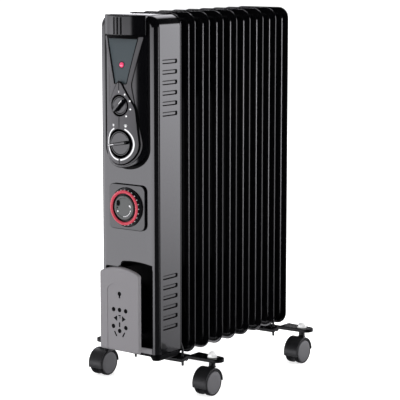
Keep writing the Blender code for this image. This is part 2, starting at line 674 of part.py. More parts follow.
def control_panel():
    end = [(PANEL_HALF_WIDTH * x, PANEL_BOTTOM_Z + PANEL_END_HEIGHT * (1 + z))
           for x, z in arc((0, 0), 1, -90, 0, 6)]
    face = mirrored(end + [(PANEL_HALF_WIDTH, PANEL_TOP_Z), (0, PANEL_TOP_Z)])
    plan = bow_outline(PANEL_BOW_R, BOW_CENTRE_Y, PANEL_BACK_Y, PANEL_HALF_WIDTH)
    panel = slab("control_panel", [plan], PANEL_BOTTOM_Z, PANEL_TOP_Z, GLOSS_PLASTIC, "up")
    front_y = BOW_CENTRE_Y - PANEL_BOW_R
    boolean(panel, cutter("panel_face", [face], front_y - OVERCUT, PANEL_BACK_Y + OVERCUT), "INTERSECT")

    pockets = [circle(0, POWER_Z, POWER_POCKET_R, 20), circle(0, THERMOSTAT_Z, THERMOSTAT_POCKET_R, 24)]
    boolean(panel, cutter("knob_pockets", pockets, front_y - OVERCUT, KNOB_POCKET_FLOOR_Y))
    holes = [circle(0, z, SHAFT_R + 2 * CLEARANCE, 10) for z in (POWER_Z, THERMOSTAT_Z)]
    holes.append(circle(0, LAMP_Z, LAMP_R + 6 * CLEARANCE, 12))
    boolean(panel, cutter("shaft_holes", holes, front_y - OVERCUT, PANEL_BACK_Y + OVERCUT))

    depth = INDICATOR_THICKNESS + CLEARANCE
    reach = 3 * OVERCUT
    seat_mesh = outline_mesh("cut_indicator_seat", [indicator_outline(CLEARANCE)], reach)
    middle = indicator_place(depth - reach / 2, (INDICATOR_TOP_Z + INDICATOR_BOTTOM_Z) / 2)
    seat = mesh_part("cut_indicator_seat", seat_mesh, None, middle, collection=cutters)
    tilted(seat)
    boolean(panel, seat)

    surround = slab("panel_surround", [surround_outline()], front_y - OVERCUT, PANEL_BACK_Y, GLOSS_PLASTIC)
    boolean(surround, bow_band("surround_band", PANEL_BOW_R + CLEARANCE, SURROUND_R), "INTERSECT")
    boolean(surround, seat)
    well_cutter = cutter("knob_wells", pockets, front_y - 2 * OVERCUT, PANEL_BACK_Y)
    boolean(surround, well_cutter)

    plate = slab("dial_plate", [teardrop_outline()], front_y - 2 * OVERCUT, PANEL_BACK_Y, MATTE_PLASTIC)
    boolean(plate, bow_band("dial_plate_band", SURROUND_R + CLEARANCE, DIAL_PLATE_R), "INTERSECT")
    boolean(plate, well_cutter)


def top_grip():
    """Bowed grip with three grooves down its front and a finger gap under its lip."""
    centre_y = GRIP_FRONT_Y + GRIP_BOW_R
    plan = bow_outline(GRIP_BOW_R, centre_y, PANEL_BACK_Y, PANEL_HALF_WIDTH)
    bottom = PANEL_TOP_Z + CLEARANCE
    grip = slab("top_grip", [plan], bottom, GRIP_TOP_Z, GLOSS_PLASTIC, "up")
    half = GRIP_GROOVE_WIDTH / 2
    grooves = []
    for x in (-GRIP_GROOVE_PITCH, 0, GRIP_GROOVE_PITCH):
        top = GRIP_TOP_Z - GRIP_GROOVE_STOP
        grooves.append([(x - half, bottom - OVERCUT), (x + half, bottom - OVERCUT), (x + half, top),
                        (x - half, top)])
    boolean(grip, cutter("grip_grooves", grooves, GRIP_FRONT_Y - OVERCUT, GRIP_FRONT_Y + GRIP_GROOVE_DEPTH))
    lip = rectangle(INDICATOR_TOP_HALF, bottom - OVERCUT, bottom + GRIP_LIP)
    gap_front = GRIP_FRONT_Y + GRIP_LIP_FRONT
    return boolean(grip, cutter("grip_lip", [lip], gap_front, INDICATOR_MID_Y + GRIP_LIP_REAR))


def indicator():
    """Sloping plate with the red lamp in it."""
    middle_z = (INDICATOR_TOP_Z + INDICATOR_BOTTOM_Z) / 2
    hole = circle(0, (LAMP_Z - middle_z) / math.cos(INDICATOR_TILT), LAMP_R + CLEARANCE, 14)
    mesh = outline_mesh("indicator_plate", [indicator_outline(), hole], INDICATOR_THICKNESS)
    seat = indicator_place(INDICATOR_THICKNESS / 2, middle_z)
    tilted(mesh_part("indicator_plate", mesh, GLOSS_PLASTIC, seat))
    profile = dome_profile(LAMP_R, LAMP_RAISE, LAMP_RISE)
    profile += [(LAMP_R, -INDICATOR_THICKNESS), (0, -INDICATOR_THICKNESS)]
    tilted(turned("lamp_lens", profile, RED_LENS, indicator_place(0, LAMP_Z), steps=14))
    holder_front = INDICATOR_THICKNESS + CLEARANCE
    holder_length = PANEL_BACK_Y + LAMP_HOLDER_TAIL - INDICATOR_MID_Y - holder_front
    holder = [(0, 0), (LAMP_HOLDER_R, 0), (LAMP_HOLDER_R, -holder_length), (0, -holder_length)]
    tilted(turned("lamp_holder", holder, GREY_PLASTIC, indicator_place(holder_front, LAMP_Z), steps=12))


# ---------------------------------------------------------------- knobs
def knob(name, z, radius, blade_y, rest_angle):
    """A flat dial with a raised grip blade across it; its origin is on the shaft's axis."""
    seat = KNOB_POCKET_FLOOR_Y - 2 * CLEARANCE
    face = seat - KNOB_FACE_Y
    profile = [(0, face), (radius - EDGE_CHAMFER, face), (radius, face - EDGE_CHAMFER), (radius, 0), (0, 0)]
    body = turned(name, profile, GLOSS_PLASTIC, (0, seat, z), FRONT_FACING, 24)
    body.rotation_euler = (math.pi / 2, -rest_angle, 0)
    half = BLADE_HALF_THICKNESS
    tail = radius * 0.80
    blade = rounded_outline([(-tail, -half, half * 0.6), (tail, -half * 0.9, 0),
                             (radius - BLADE_TIP_GAP, 0, 0), (tail, half * 0.9, 0),
                             (-tail, half, half * 0.6)], 2)
    top = seat - blade_y
    blade_name = "cut_%s_blade" % name
    mesh = outline_mesh(blade_name, [blade], top - BLADE_FOOT)
    place_z = (top + BLADE_FOOT) / 2
    tool = mesh_part(blade_name, mesh, None, (0, 0, place_z), parent=body, collection=cutters)
    return boolean(body, tool, "UNION")


def rotary_device(name, z, size, shader):
    """Switch or thermostat body behind the panel, with its shaft reaching the knob."""
    width, depth, height = size
    front = CONSOLE_FRONT_Y + CLEARANCE
    outline = [(-width / 2, z - height / 2), (width / 2, z - height / 2), (width / 2, z + height / 2),
               (-width / 2, z + height / 2)]
    body = slab(name, [outline], front, front + depth, shader)
    shaft = [circle(0, z, SHAFT_R, 10)]
    tool = cutter(name + "_shaft", shaft, KNOB_POCKET_FLOOR_Y - CLEARANCE, front + SHAFT_SINK)
    return boolean(body, tool, "UNION")


# ---------------------------------------------------------------- timer
def timer():
    body_front = CONSOLE_FRONT_Y
    bezel = rectangle(BEZEL_HALF, TIMER_Z - BEZEL_HALF, TIMER_Z + BEZEL_HALF, BEZEL_CORNER_R, 4)
    opening = circle(0, TIMER_Z, DIAL_BASE_R + 2 * CLEARANCE, 24)
    slab("timer_bezel", [bezel, opening], BEZEL_FRONT_Y, PANEL_BACK_Y, GLOSS_PLASTIC)
    case = rectangle(TIMER_BODY_HALF, TIMER_Z - TIMER_BODY_HALF, TIMER_Z + TIMER_BODY_HALF)
    slab("timer_motor", [case], body_front, TIMER_BODY_REAR_Y, MATTE_PLASTIC)

    seat = body_front - CLEARANCE
    ring_inner = TIMER_HUB_R + 2 * CLEARANCE
    front = seat - DIAL_FRONT_Y
    step = seat - DIAL_STEP_Y
    dial = [(ring_inner, front), (DIAL_R, front), (DIAL_R, step), (DIAL_BASE_R, step), (DIAL_BASE_R, 0),
            (ring_inner, 0)]
    turned("timer_dial", dial, MATTE_PLASTIC, (0, seat, TIMER_Z), steps=24, ring=True)
    ring_seat = DIAL_FRONT_Y - CLEARANCE
    height = ring_seat - SEGMENT_RING_FRONT_Y
    ring = [(SEGMENT_RING_INNER_R, height), (DIAL_R - RING_CHAMFER, height), (DIAL_R, height - RING_CHAMFER),
            (DIAL_R, 0), (SEGMENT_RING_INNER_R, 0)]
    turned("timer_segment_ring", ring, RED_PLASTIC, (0, ring_seat, TIMER_Z), steps=24, ring=True)
    top = seat - TIMER_CENTRE_FRONT_Y
    centre = [(0, top), (TIMER_HUB_R - HUB_CHAMFER, top), (TIMER_HUB_R, top - HUB_CHAMFER), (TIMER_HUB_R, 0),
              (0, 0)]
    turned("timer_centre", centre, GREY_PLASTIC, (0, seat, TIMER_Z), steps=24)


# ---------------------------------------------------------------- cord storage
def recess_outline(inset):
    """The recess's opening: an arch off centre to the right, with a lower ledge on its left."""
    half = RECESS_HALF_WIDTH - inset
    bottom, ledge, peak = RECESS_BOTTOM_Z + inset, RECESS_LEDGE_Z - inset, RECESS_PEAK_Z - inset
    step = RECESS_STEP_X + inset
    rise = RECESS_PEAK_Z - RECESS_SHOULDER_Z
    reach = RECESS_HALF_WIDTH - RECESS_PEAK_X
    bow = (reach ** 2 + rise ** 2) / (2 * rise)
    first = math.degrees(math.acos((half - RECESS_PEAK_X) / bow))
    last = math.degrees(math.acos((step - RECESS_PEAK_X) / bow))
    arch = arc((RECESS_PEAK_X, peak - bow), bow, first, last, 8)
    corners = [(-half, bottom, RECESS_CORNER_R), (half, bottom, RECESS_CORNER_R)]
    corners += [(x, z, 0) for x, z in arch[:-2]] + [(*arch[-1], RECESS_STEP_R), (step, ledge, 0)]
    return rounded_outline(corners + [(-half, ledge, RECESS_CORNER_R)], 3)


def cord_plate_outline(inset):
    return arched(CORD_PLATE_HALF - inset, CORD_PLATE_BOTTOM_Z + inset, CORD_PLATE_SHOULDER_Z - inset,
                  CORD_PLATE_PEAK_Z - inset)


def cord_storage():
    """Recessed tray with a hub, the plate that the cord is wound behind, and the cord's inlet bush."""
    tray = slab("cord_tray", [recess_outline(CLEARANCE)], CONSOLE_FRONT_Y, TRAY_REAR_Y, MATTE_PLASTIC)
    inside = recess_outline(CLEARANCE + TRAY_WALL)
    floor_y = TRAY_REAR_Y - TRAY_WALL
    boolean(tray, cutter("tray_inside", [inside], CONSOLE_FRONT_Y - OVERCUT, floor_y))
    hub = rectangle(HUB_HALF_WIDTH, HUB_BOTTOM_Z, HUB_TOP_Z, HUB_CORNER_R, 3)
    plate_inside = CORD_PLATE_FRONT_Y + CORD_PLATE_WALL
    boolean(tray, cutter("tray_hub", [hub], plate_inside + CLEARANCE, floor_y + SINK), "UNION")
    inlet = circle(INLET_X, INLET_Z, INLET_R, 14)
    boolean(tray, cutter("tray_inlet", [inlet], floor_y - OVERCUT / 2, TRAY_REAR_Y + OVERCUT / 2))

    plate_back = CORD_PLATE_FRONT_Y + CORD_PLATE_DEPTH
    plate = slab("cord_plate", [cord_plate_outline(0)], CORD_PLATE_FRONT_Y, plate_back, MATTE_PLASTIC)
    pocket = cord_plate_outline(CORD_PLATE_WALL)
    boolean(plate, cutter("plate_inside", [pocket], plate_inside, plate_back + OVERCUT))
    field = arched(FIELD_HALF, CORD_PLATE_BOTTOM_Z + FIELD_EDGE, FIELD_SHOULDER_Z, FIELD_PEAK_Z)
    front = CORD_PLATE_FRONT_Y - OVERCUT / 2
    boolean(plate, cutter("plate_field", [field], front, CORD_PLATE_FRONT_Y + FIELD_DEPTH))
    keyhole = arc((0, KEYHOLE_Z), KEYHOLE_R, -60, 240, 8)
    slot_half, slot_z = KEYHOLE_R * 0.4, KEYHOLE_Z - KEYHOLE_DROP
    keyhole += [(-slot_half, slot_z), (slot_half, slot_z)]
    boolean(plate, cutter("plate_keyhole", [keyhole], front, plate_inside + SINK))

    barrel = INLET_R - CLEARANCE * 1.5
    profile = [(BUSH_BORE_R, BUSH_FLANGE), (BUSH_FLANGE_R, BUSH_FLANGE), (BUSH_FLANGE_R, 0), (barrel, 0),
               (barrel, -BUSH_BARREL), (BUSH_BORE_R, -BUSH_BARREL)]
    bush_seat = (INLET_X, floor_y - CLEARANCE, INLET_Z)
    turned("cord_inlet_bush", profile, MATTE_PLASTIC, bush_seat, steps=14, ring=True)


# ---------------------------------------------------------------- feet and casters
def bracket_plan(inset):
    half = BRACKET_HALF_WIDTH - inset
    taper_x = CRANK_OUTER_X / 2
    tip = arc((BRACKET_HALF_LENGTH - BRACKET_END_R, 0), BRACKET_END_R - inset, -80, 80, 6)
    right = [(taper_x, -half)] + tip + [(taper_x, half)]
    return right + [(-x, y) for x, y in reversed(right)]


def bracket_side(drop, extra):
    """Side view of the cranked bracket: its top lowered by drop, and extra length and depth for a cutter."""
    far = BRACKET_HALF_LENGTH + extra
    low = BRACKET_INNER_TOP_Z - drop
    high = BRACKET_OUTER_TOP_Z - drop
    rim = BRACKET_RIM + extra
    top = [(far, high), (CRANK_OUTER_X, high), (CRANK_INNER_X, low)]
    under = [(CRANK_INNER_X, low - rim), (CRANK_OUTER_X, high - rim), (far, high - rim)]
    return top + [(-x, z) for x, z in reversed(top)] + [(-x, z) for x, z in reversed(under)] + under


def wing_nut_outline():
    half = WING_NUT_BLADE / 2
    lean = math.degrees(math.asin(half / WING_NUT_HUB_R))
    hub_end = 90 - WING_NUT_HUB_GAP_DEG
    right = arc((0, 0), WING_NUT_HUB_R, -hub_end, -lean, 2)
    right += [(WING_NUT_SPAN / 2, -half), (WING_NUT_SPAN / 2, half)]
    right += arc((0, 0), WING_NUT_HUB_R, lean, hub_end, 2)
    return right + [(-x, -y) for x, y in right]


def foot(end):
    """Cranked bracket with its clamp rod over the header and two wing nuts below."""
    y = FOOT_YS[end]
    width = BRACKET_HALF_WIDTH
    below = BRACKET_INNER_TOP_Z - BRACKET_RIM - 2 * OVERCUT
    above = BRACKET_OUTER_TOP_Z + 2 * OVERCUT
    bracket = slab(end + "_foot_bracket", [bracket_side(0, 0)], -width, width, BLACK_ENAMEL)
    plan = cutter(end + "_bracket_plan", [bracket_plan(0)], below, above, "up")
    inside_loop = bracket_side(BRACKET_SHEET, OVERCUT)
    inside = cutter(end + "_bracket_inside", [inside_loop], -width - OVERCUT, width + OVERCUT)
    inside_plan = cutter(end + "_bracket_inside_plan", [bracket_plan(BRACKET_SHEET)], below, above, "up")
    for piece in (bracket, plan, inside, inside_plan):
        piece.location.y += y
    boolean(bracket, plan, "INTERSECT")
    boolean(inside, inside_plan, "INTERSECT")
    boolean(bracket, inside)
    stems = [circle(x, y, STEM_R + 2 * CLEARANCE, 12) for x in (-SWIVEL_X, SWIVEL_X)]
    rods = [circle(x, y, ROD_R + 2 * CLEARANCE, 8) for x in (-ROD_X, ROD_X)]
    boolean(bracket, cutter(end + "_bracket_holes", stems + rods, below, above, "up"))

    curve = bpy.data.curves.new(end + "_clamp_rod", "CURVE")
    curve.dimensions = "3D"
    curve.bevel_depth = ROD_R
    curve.bevel_resolution = 2
    curve.use_fill_caps = True
    saddle = arc((0, HEADER_LOW_Z), HEADER_R + ROD_R + 2 * CLEARANCE, 35, 145, 6)
    path = [(ROD_X, ROD_BOTTOM_Z), (ROD_X, ROD_SHOULDER_Z)] + saddle
    path += [(-ROD_X, ROD_SHOULDER_Z), (-ROD_X, ROD_BOTTOM_Z)]
    spline = curve.splines.new("POLY")
    spline.points.add(len(path) - 1)
    for point, (x, z) in zip(spline.points, path):
        point.co = (x, 0, z, 1)
    mesh_part(end + "_clamp_rod", curve_to_mesh(curve, end + "_clamp_rod"), PLAIN_STEEL, (0, y, 0))

    nut_top = BRACKET_INNER_TOP_Z - BRACKET_SHEET - CLEARANCE
    for side, x in (("left", -ROD_X), ("right", ROD_X)):
        name = "%s_%s_wing_nut" % (end, side)
        loops = [wing_nut_outline(), circle(0, 0, ROD_R + CLEARANCE, 8)]
        nut = slab(name, loops, nut_top - WING_NUT_HEIGHT, nut_top, PLAIN_STEEL, "up")
        nut.location.x += x
        nut.location.y += y


def caster(end, side):
    """Swivelling hood with its stem, the wheel pair on its axle, and the dome nut above the bracket."""
    x = SWIVEL_X if side == "right" else -SWIVEL_X
    y = FOOT_YS[end]
    axle_y = -CASTER_TRAIL
    name = "%s_%s_caster" % (end, side)
    swivel = bpy.data.objects.new(name + "_swivel", None)
    place(swivel, (x, y, 0), UPRIGHT, parts)

    inner = WHEEL_R + FENDER_GAP
    outer = inner + FENDER_WALL
    hub = (axle_y, WHEEL_R)
    half = CASTER_HALF_WIDTH
    fender = arc(hub, outer, *FENDER_ARC_DEG, 12) + arc(hub, inner, *reversed(FENDER_ARC_DEG), 12)
    hood = slab(name + "_hood", [fender], -half, half, MATTE_PLASTIC, "side", parent=swivel)
    web_ends = (FENDER_ARC_DEG[0] + 2, FENDER_ARC_DEG[1] - 2)
    web = arc(hub, inner + FENDER_WALL / 2, *web_ends, 8) + arc(hub, WEB_HUB_R, 225, 315, 4)
    web_hole = circle(axle_y, WHEEL_R, AXLE_R + CLEARANCE, 12)
    boolean(hood, cutter(name + "_web", [web, web_hole], -WEB_HALF, WEB_HALF, "side", parent=swivel), "UNION")
    collar_top = BRACKET_OUTER_TOP_Z - BRACKET_SHEET - 2 * CLEARANCE
    stem_top = BRACKET_OUTER_TOP_Z + DOME_NUT_HEX_HEIGHT
    boss_bottom = WHEEL_R + math.sqrt(inner ** 2 - (CASTER_TRAIL - STEM_COLLAR_R) ** 2) + CLEARANCE
    rib_bottom, rib_top, rib_half = WHEEL_R + WEB_HUB_R + SINK, boss_bottom + 2 * SINK, WEB_HALF * 0.9
    rib = [(-STEM_COLLAR_R, rib_bottom), (STEM_COLLAR_R, rib_bottom),
           (STEM_COLLAR_R, rib_top), (-STEM_COLLAR_R, rib_top)]
    boolean(hood, cutter(name + "_rib", [rib], -rib_half, rib_half, "side", parent=swivel), "UNION")
    stem_profile = [(0, stem_top), (STEM_R, stem_top), (STEM_R, collar_top), (STEM_COLLAR_R, collar_top),
                    (STEM_COLLAR_R, boss_bottom), (0, boss_bottom)]
    stem = turned("cut_%s_stem" % name, stem_profile, None, (0, 0, 0), UPRIGHT, 12, parent=swivel,
                  collection=cutters)
    boolean(hood, stem, "UNION")

    disc_inner = WEB_HALF + 2 * CLEARANCE
    right = [(0, half), (WHEEL_R * 0.82, half), (WHEEL_R, half - EDGE_CHAMFER), (WHEEL_R, disc_inner),
             (AXLE_R, disc_inner)]
    profile = right + [(radius, -height) for radius, height in reversed(right)]
    facing_x = (0, math.pi / 2, 0)
    hub_place = (0, axle_y, WHEEL_R)
    turned("%s_%s_wheels" % (end, side), profile, MATTE_PLASTIC, hub_place, facing_x, 20, parent=swivel)

    nut_z = BRACKET_OUTER_TOP_Z + CLEARANCE
    nut_name = "%s_%s_dome_nut" % (end, side)
    nut = slab(nut_name, [circle(0, 0, DOME_NUT_ACROSS_CORNERS / 2, 6)], nut_z, nut_z + DOME_NUT_HEX_HEIGHT,
               BRIGHT_STEEL, "up", parent=swivel)
    cap_profile = dome_profile(DOME_R, DOME_NUT_HEX_HEIGHT, DOME_NUT_HEIGHT - DOME_NUT_HEX_HEIGHT)
    cap_profile += [(DOME_R, DOME_SINK), (0, DOME_SINK)]
    cap = turned("cut_%s_dome" % nut_name, cap_profile, None, (0, 0, nut_z), UPRIGHT, 12, parent=swivel,
                 collection=cutters)
    boolean(nut, cap, "UNION")
    socket = cutter(nut_name + "_bore", [circle(0, 0, STEM_R + CLEARANCE, 12)], nut_z - STEM_BORE_REACH,
                    stem_top + 2 * CLEARANCE, "up", parent=swivel)
    boolean(nut, socket)


# ---------------------------------------------------------------- assembly
radiator_body()
console_shell()
console_inside()
console_bottom_cover()
control_panel()
top_grip()
indicator()
rotary_device("power_switch", POWER_Z, SWITCH_SIZE, GREY_PLASTIC)
rotary_device("thermostat", THERMOSTAT_Z, THERMOSTAT_SIZE, GREY_PLASTIC)
knob("power_knob", POWER_Z, POWER_KNOB_R, POWER_BLADE_Y, POWER_REST_ANGLE)
knob("thermostat_knob", THERMOSTAT_Z, THERMOSTAT_KNOB_R, THERMOSTAT_BLADE_Y, THERMOSTAT_REST_ANGLE)
timer()
cord_storage()
for foot_end in FOOT_YS:
    foot(foot_end)
    for foot_side in ("left", "right"):
        caster(foot_end, foot_side)

for smooth in parts.objects:
    if smooth.type == "MESH":
        smooth.data.shade_smooth()
        smooth.data.set_sharp_from_angle(angle=math.radians(30))
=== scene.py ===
"""Looks of the oil filled radiator heater: detailed meshes, finishes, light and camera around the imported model.

Metres, +Z up. The console faces -Y. Outlines are drawn in (x, z) as seen from the front, and depth runs inwards.
"""

import math

import bmesh
import bpy
from mathutils import Matrix, Vector

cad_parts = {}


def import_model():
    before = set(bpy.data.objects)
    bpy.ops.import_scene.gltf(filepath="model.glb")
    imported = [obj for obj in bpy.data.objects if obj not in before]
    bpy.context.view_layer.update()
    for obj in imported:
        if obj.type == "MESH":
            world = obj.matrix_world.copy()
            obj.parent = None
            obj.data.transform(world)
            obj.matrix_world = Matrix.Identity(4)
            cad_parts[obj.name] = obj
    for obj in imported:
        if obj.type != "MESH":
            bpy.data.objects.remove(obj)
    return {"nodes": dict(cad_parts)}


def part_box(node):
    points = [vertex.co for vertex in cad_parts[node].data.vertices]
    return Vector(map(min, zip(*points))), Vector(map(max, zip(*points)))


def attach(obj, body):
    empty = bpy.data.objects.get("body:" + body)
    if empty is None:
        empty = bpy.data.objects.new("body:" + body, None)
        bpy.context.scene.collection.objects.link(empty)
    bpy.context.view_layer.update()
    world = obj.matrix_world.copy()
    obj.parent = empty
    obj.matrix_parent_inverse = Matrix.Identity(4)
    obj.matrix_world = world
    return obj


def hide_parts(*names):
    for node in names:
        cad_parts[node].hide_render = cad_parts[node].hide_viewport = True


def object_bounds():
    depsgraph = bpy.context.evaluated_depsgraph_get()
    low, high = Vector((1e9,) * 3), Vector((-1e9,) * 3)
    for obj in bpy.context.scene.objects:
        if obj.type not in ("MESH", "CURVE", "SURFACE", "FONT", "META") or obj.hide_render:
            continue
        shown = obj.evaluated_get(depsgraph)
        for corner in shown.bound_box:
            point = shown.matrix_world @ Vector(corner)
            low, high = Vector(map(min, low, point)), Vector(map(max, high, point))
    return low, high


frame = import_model()
cad_low, cad_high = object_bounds()

TAU = math.tau
MM = 0.001
SKIN = 0.05 * MM            # how far a printed mark stands off the surface below it


def low(node):
    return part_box(node)[0]


def high(node):
    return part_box(node)[1]


def middle(node):
    return (low(node) + high(node)) / 2


FIN_NAMES = ["fin_%d" % number for number in range(1, 10)]
FIN_PITCH = middle("fin_3").y - middle("fin_2").y
PANEL_BOW_R = 63.2 * MM
SURROUND_BOW_R = PANEL_BOW_R + 2.3 * MM
DIAL_PLATE_BOW_R = SURROUND_BOW_R + 1.9 * MM
GRIP_BOW_R = 54.9 * MM
BOW_CENTRE_Y = low("control_panel").y + PANEL_BOW_R
GRIP_CENTRE_Y = low("top_grip").y + GRIP_BOW_R
CONSOLE_FRONT_Y = low("console_shell").y
POWER_Z = middle("power_switch").z
THERMOSTAT_Z = middle("thermostat").z
TIMER_Z = middle("timer_bezel").z


# ---------------------------------------------------------------- finishes
def grained(name, colour, roughness, metallic=0.0, drift=0.12, cloud=9.0, gloss_drift=0.04, grain=900.0, relief=0.0,
            wear=0.0, **sockets):
    """A Principled finish whose colour and gloss drift a little over the piece, with a fine moulded or sprayed relief."""
    material = bpy.data.materials.new(name)
    material.use_nodes = True
    nodes, links = material.node_tree.nodes, material.node_tree.links
    shader = nodes["Principled BSDF"]
    shader.inputs["Metallic"].default_value = metallic
    for socket, value in sockets.items():
        shader.inputs[socket.replace("_", " ")].default_value = value

    place = nodes.new("ShaderNodeTexCoord")
    clouds = nodes.new("ShaderNodeTexNoise")
    clouds.inputs["Scale"].default_value = cloud
    clouds.inputs["Detail"].default_value = 4
    links.new(place.outputs["Object"], clouds.inputs["Vector"])
    tone = nodes.new("ShaderNodeMapRange")
    tone.inputs["From Min"].default_value = 0.3
    tone.inputs["From Max"].default_value = 0.7
    links.new(clouds.outputs["Fac"], tone.inputs["Value"])
    mix = nodes.new("ShaderNodeMix")
    mix.data_type = "RGBA"
    mix.inputs["A"].default_value = (*[channel * (1 - drift) for channel in colour], 1)
    mix.inputs["B"].default_value = (*[min(1, channel * (1 + drift)) for channel in colour], 1)
    links.new(tone.outputs["Result"], mix.inputs["Factor"])
    colour_out = mix.outputs["Result"]

    fine = nodes.new("ShaderNodeTexNoise")
    fine.inputs["Scale"].default_value = grain
    fine.inputs["Detail"].default_value = 2
    links.new(place.outputs["Object"], fine.inputs["Vector"])
    gloss = nodes.new("ShaderNodeMapRange")
    gloss.inputs["From Min"].default_value = 0.3
    gloss.inputs["From Max"].default_value = 0.7
    gloss.inputs["To Min"].default_value = max(0.02, roughness - gloss_drift)
    gloss.inputs["To Max"].default_value = roughness + gloss_drift
    links.new(clouds.outputs["Fac"], gloss.inputs["Value"])
    links.new(gloss.outputs["Result"], shader.inputs["Roughness"])
    if wear:
        edges = nodes.new("ShaderNodeNewGeometry")
        ridge = nodes.new("ShaderNodeMapRange")
        ridge.inputs["From Min"].default_value = 0.52
        ridge.inputs["From Max"].default_value = 0.62
        ridge.inputs["To Max"].default_value = wear
        links.new(edges.outputs["Pointiness"], ridge.inputs["Value"])
        rubbed = nodes.new("ShaderNodeMix")
        rubbed.data_type = "RGBA"
        rubbed.inputs["B"].default_value = (0.16, 0.16, 0.17, 1)
        links.new(ridge.outputs["Result"], rubbed.inputs["Factor"])
        links.new(colour_out, rubbed.inputs["A"])
        colour_out = rubbed.outputs["Result"]
    links.new(colour_out, shader.inputs["Base Color"])
    if relief:
        bump = nodes.new("ShaderNodeBump")
        bump.inputs["Distance"].default_value = relief
        links.new(fine.outputs["Fac"], bump.inputs["Height"])
        links.new(bump.outputs["Normal"], shader.inputs["Normal"])
    return material


ENAMEL = grained("black_enamel_finish", (0.0012, 0.0012, 0.0016), 0.11, gloss_drift=0.015, grain=260,
                 relief=0.006 * MM, wear=0.03)
BRACKET_ENAMEL = grained("bracket_enamel_finish", (0.0016, 0.0016, 0.0020), 0.22, grain=260, relief=0.010 * MM,
                         wear=0.03, Specular_IOR_Level=0.15)
# The fins' black enamel with a stronger specular reflection: a painted highlight along the bead's flank.
BEAD_HIGHLIGHT = grained("bead_painted_highlight_enamel", (0.0012, 0.0012, 0.0016), 0.13, gloss_drift=0.015, grain=260,
               relief=0.006 * MM, Specular_IOR_Level=1.0)
GLOSS = grained("gloss_black_moulding", (0.0020, 0.0020, 0.0026), 0.14, gloss_drift=0.02, grain=1500,
                relief=0.004 * MM, Specular_IOR_Level=0.4)
MATTE = grained("matte_black_moulding", (0.006, 0.006, 0.007), 0.42, grain=1800, relief=0.02 * MM,
                Specular_IOR_Level=0.3)
DIAL_FACE = grained("dial_plate_moulding", (0.064, 0.062, 0.068), 0.50, drift=0.06, grain=2200, relief=0.008 * MM)
SLOPE_FACE = grained("indicator_moulding", (0.030, 0.044, 0.051), 0.42, drift=0.06, grain=2200, relief=0.006 * MM)
SATIN = grained("satin_moulding", (0.150, 0.144, 0.153), 0.38, drift=0.05, grain=2600, relief=0.012 * MM)
# Near-black with almost no shine: the own dull black of the cord tray, foot cover and recess liner, and painted shade
# on the plates' edges, the knob wells, the grip's top and the band round the panel.
DULL_BLACK_AND_SHADE = grained("dull_black_moulding_and_painted_shade", (0.0012, 0.0012, 0.0016), 0.45, grain=1800, relief=0.02 * MM,
               Specular_IOR_Level=0.05)
GREY = grained("grey_moulding", (0.060, 0.064, 0.062), 0.42, grain=2400, relief=0.01 * MM)
CASTER_BLACK = grained("caster_hood_moulding", (0.006, 0.006, 0.007), 0.46, grain=1600, relief=0.02 * MM, wear=0.1)
CASTER_DISC = grained("caster_disc_moulding", (0.050, 0.049, 0.053), 0.38, drift=0.2, grain=1600, relief=0.02 * MM)
TREAD = grained("wheel_tread", (0.004, 0.004, 0.005), 0.5, grain=1200, relief=0.03 * MM, Specular_IOR_Level=0.2)
RED = grained("red_moulding", (0.52, 0.045, 0.075), 0.35, grain=2400, relief=0.004 * MM)
LENS = grained("red_lamp_lens", (0.66, 0.06, 0.15), 0.12, grain=1200, relief=0.01 * MM, Coat_Weight=0.6,
               Emission_Color=(1.0, 0.10, 0.22, 1), Emission_Strength=0.12)
CHROME = grained("bright_plated_steel", (0.93, 0.93, 0.93), 0.28, 0.2, drift=0.03, gloss_drift=0.03, grain=700)
STEEL = grained("zinc_plated_steel", (0.50, 0.50, 0.52), 0.30, 1.0, drift=0.1, gloss_drift=0.08, grain=900,
                relief=0.01 * MM)
ROD_STEEL = grained("dark_plated_steel", (0.02, 0.02, 0.022), 0.45, 0.0, drift=0.15, gloss_drift=0.06, grain=900,
                    relief=0.01 * MM)
PRINT = grained("white_print", (0.80, 0.80, 0.82), 0.5, drift=0.04, grain=2600, relief=0.004 * MM)
# Near-black and nearly unshiny: painted shade in grooves, gaps, the timer slot and the cord plate's hole walls.
GROOVE_SHADE = grained("groove_shadow", (0.0010, 0.0010, 0.0012), 0.6, grain=1500, Specular_IOR_Level=0.05)
GRIME = grained("inside_moulding", (0.020, 0.020, 0.022), 0.5, grain=1500, relief=0.02 * MM)


# ---------------------------------------------------------------- outlines in (x, z)
def arc(centre, radius, first, last, steps):
    """Points on an arc from one angle to another, in degrees."""
    angles = [math.radians(first + (last - first) * step / steps) for step in range(steps + 1)]
    return [(centre[0] + radius * math.cos(a), centre[1] + radius * math.sin(a)) for a in angles]


def circle(x, z, radius, count=40):
    return arc((x, z), radius, 0, 360 - 360 / count, count - 1)


def rounded(corners, steps=6):
    """Corners (x, z, radius) joined by straight runs, each corner replaced by an arc."""
    points = []
    for index, (x, z, radius) in enumerate(corners):
        here = Vector((x, z))
        if radius <= 0:
            points.append((x, z))
            continue
        back = (Vector(corners[index - 1][:2]) - here).normalized()
        ahead = (Vector(corners[(index + 1) % len(corners)][:2]) - here).normalized()
        half = back.angle(ahead) / 2
        centre = here + (back + ahead).normalized() * (radius / math.sin(half))
        start = here + back * (radius / math.tan(half)) - centre
        end = here + ahead * (radius / math.tan(half)) - centre
        first = math.atan2(start.y, start.x)
        sweep = (math.atan2(end.y, end.x) - first + math.pi) % TAU - math.pi
        points += arc(centre, radius, math.degrees(first), math.degrees(first + sweep), steps)
    return points


def box_outline(half, bottom, top, radius=0.0, steps=6):
    return rounded([(-half, bottom, radius), (half, bottom, radius), (half, top, radius), (-half, top, radius)], steps)


